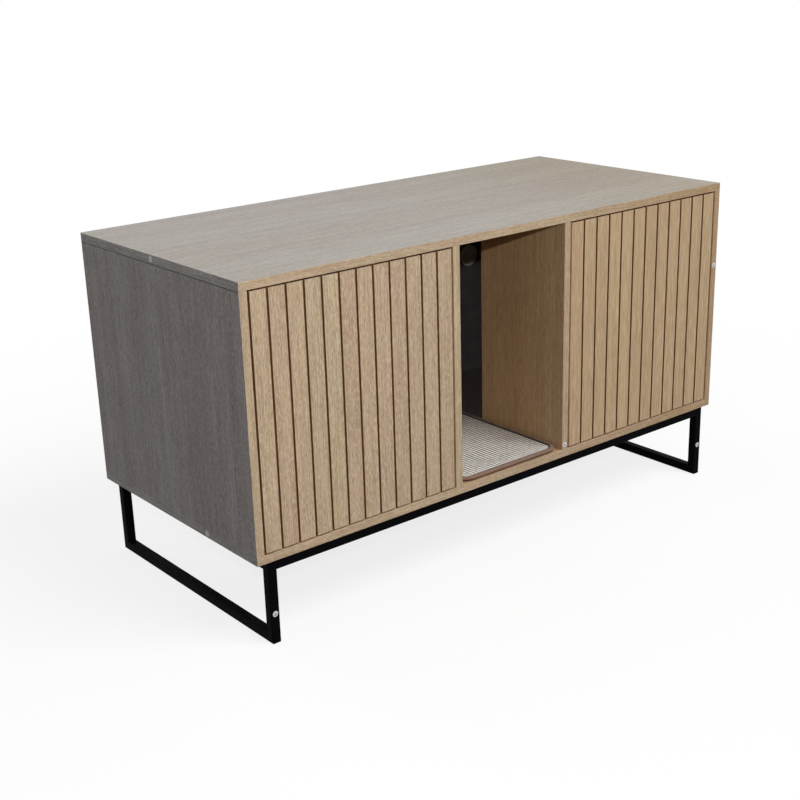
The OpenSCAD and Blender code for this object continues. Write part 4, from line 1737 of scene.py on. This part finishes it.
@dataclass
class Studio:
    """Pale floor, white surroundings, soft lamps and the camera of the photograph."""

    camera_place: tuple[float, float, float] = (-1.68737, -2.02394, 1.15940)
    azimuth: float = -39.3726
    elevation: float = 19.5272
    roll: float = -1.4575
    lens: float = 60.2176
    sensor: float = 36.0
    shift: tuple[float, float] = (-0.018388, 0.011558)
    reach: tuple[float, float] = (0.05, 100.0)
    ambient: float = 0.18
    floor_edge: float = 60.0
    floor_gap: float = 0.0002
    shadow: float = 0.2
    open_floor: float = 2.2
    fade_start: float = 0.35
    bounce: Colour = (0.14, 0.135, 0.13, 1.0)
    pale: Colour = (0.93, 0.93, 0.93, 1.0)
    white: Colour = (1.0, 1.0, 1.0, 1.0)
    aim: tuple[float, float, float] = (0.0, 0.0, 0.4)

    LAMPS: ClassVar[tuple[Lamp, ...]] = (
        Lamp("key_lamp", (1.4, -3.4, 5.0), 3.2, 0.8),
        Lamp("camera_lamp", (-1.69, -2.03, 1.33), 0.04, 0.24),
        Lamp("back_lamp", (-0.8, 3.4, 1.5), 1.4, 0.35),
        Lamp("side_lamp", (3.3, 0.8, 0.95), 1.2, 0.2),
    )

    def camera(self) -> None:
        """Sets up the camera at the photograph's place and angle."""
        data = bpy.data.cameras.new("photo_camera")
        data.lens = self.lens
        data.sensor_width = self.sensor
        data.shift_x, data.shift_y = self.shift
        data.clip_start, data.clip_end = self.reach
        camera = bpy.data.objects.new("photo_camera", data)
        camera.location = self.camera_place
        level = Euler((math.radians(90 - self.elevation), 0.0, math.radians(self.azimuth))).to_matrix()
        camera.rotation_euler = (level @ Euler((0.0, 0.0, math.radians(self.roll))).to_matrix()).to_euler()
        bpy.context.scene.collection.objects.link(camera)
        bpy.context.scene.camera = camera

    def surroundings(self) -> None:
        """Makes the surroundings white to look at and in reflections, and softer as a light."""
        world = bpy.data.worlds.new("white_studio")
        bpy.context.scene.world = world
        world.use_nodes = True
        canvas = Canvas(world.node_tree)
        strength = canvas.shift(self.ambient, self._seen(canvas), 1 - self.ambient)
        canvas.fill(world.node_tree.nodes["Background"], Color=self.white, Strength=strength)
        bpy.context.scene.view_settings.view_transform = "Standard"

    @staticmethod
    def _seen(canvas: Canvas) -> Socket:
        """Tells rays that show the surroundings from rays that only light the object.

        Args:
            canvas: Canvas on the tree.

        Returns:
            1 for camera, glossy and transmission rays, otherwise 0.
        """
        path = canvas.add("ShaderNodeLightPath").outputs
        shown = canvas.math("MAXIMUM", path["Is Camera Ray"], path["Is Glossy Ray"])
        return canvas.math("MAXIMUM", shown, path["Is Transmission Ray"])

    def floor(self) -> None:
        """Lays a pale floor that takes the object's shadow and fades into the white far out."""
        deselect_all()
        bpy.ops.mesh.primitive_plane_add(size=self.floor_edge, location=(0.0, 0.0, -self.floor_gap))
        floor = bpy.context.object
        floor.name = "studio_floor"
        material = bpy.data.materials.new("pale_floor")
        material.use_nodes = True
        nodes = material.node_tree.nodes
        canvas = Canvas(material.node_tree)
        seen = self._seen(canvas)
        surface = nodes["Principled BSDF"]
        tone = canvas.mix(seen, self.bounce, self.pale)
        canvas.fill(surface, Base_Color=tone, Roughness=0.9, Specular_IOR_Level=0.0)
        place = canvas.add("ShaderNodeTexCoord").outputs["Object"]
        away = canvas.add("ShaderNodeVectorMath", place, operation="LENGTH").outputs["Value"]
        veil = canvas.span(away, self.fade_start * self.open_floor, self.open_floor, 1 - self.shadow, 1.0)
        white = canvas.add("ShaderNodeEmission").outputs[0]
        blend = canvas.add("ShaderNodeMixShader", canvas.times(veil, seen), surface.outputs[0], white)
        canvas.fill(nodes["Material Output"], Surface=blend.outputs[0])
        floor.data.materials.append(material)

    def lamps(self) -> None:
        """Hangs the lamps."""
        for lamp in self.LAMPS:
            data = bpy.data.lights.new(lamp.name, "AREA")
            data.shape = "SQUARE"
            data.size = lamp.edge
            away = Vector(lamp.place) - Vector(self.aim)
            data.energy = lamp.level * (math.pi * away.length) ** 2
            holder = bpy.data.objects.new(lamp.name, data)
            holder.location = lamp.place
            holder.rotation_euler = away.to_track_quat("Z", "Y").to_euler()
            bpy.context.scene.collection.objects.link(holder)
            LOG.info("%s at level %.2f", lamp.name, lamp.level)


def main() -> None:
    """Builds the scene: the studio first, then each sub-assembly of the cat house."""
    logging.basicConfig(level=logging.INFO, format="%(name)s: %(message)s")
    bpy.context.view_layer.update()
    studio = Studio()
    studio.camera()
    studio.surroundings()
    studio.floor()
    studio.lamps()
    effects = Effects()
    for assembly in (Carcass(), SledBase(), SlattedDoors(), PushLatches()):
        assembly.dress(effects)
    Mat().build(effects)
    NumberLabels().build(effects)


if __name__ == "__main__":
    main()
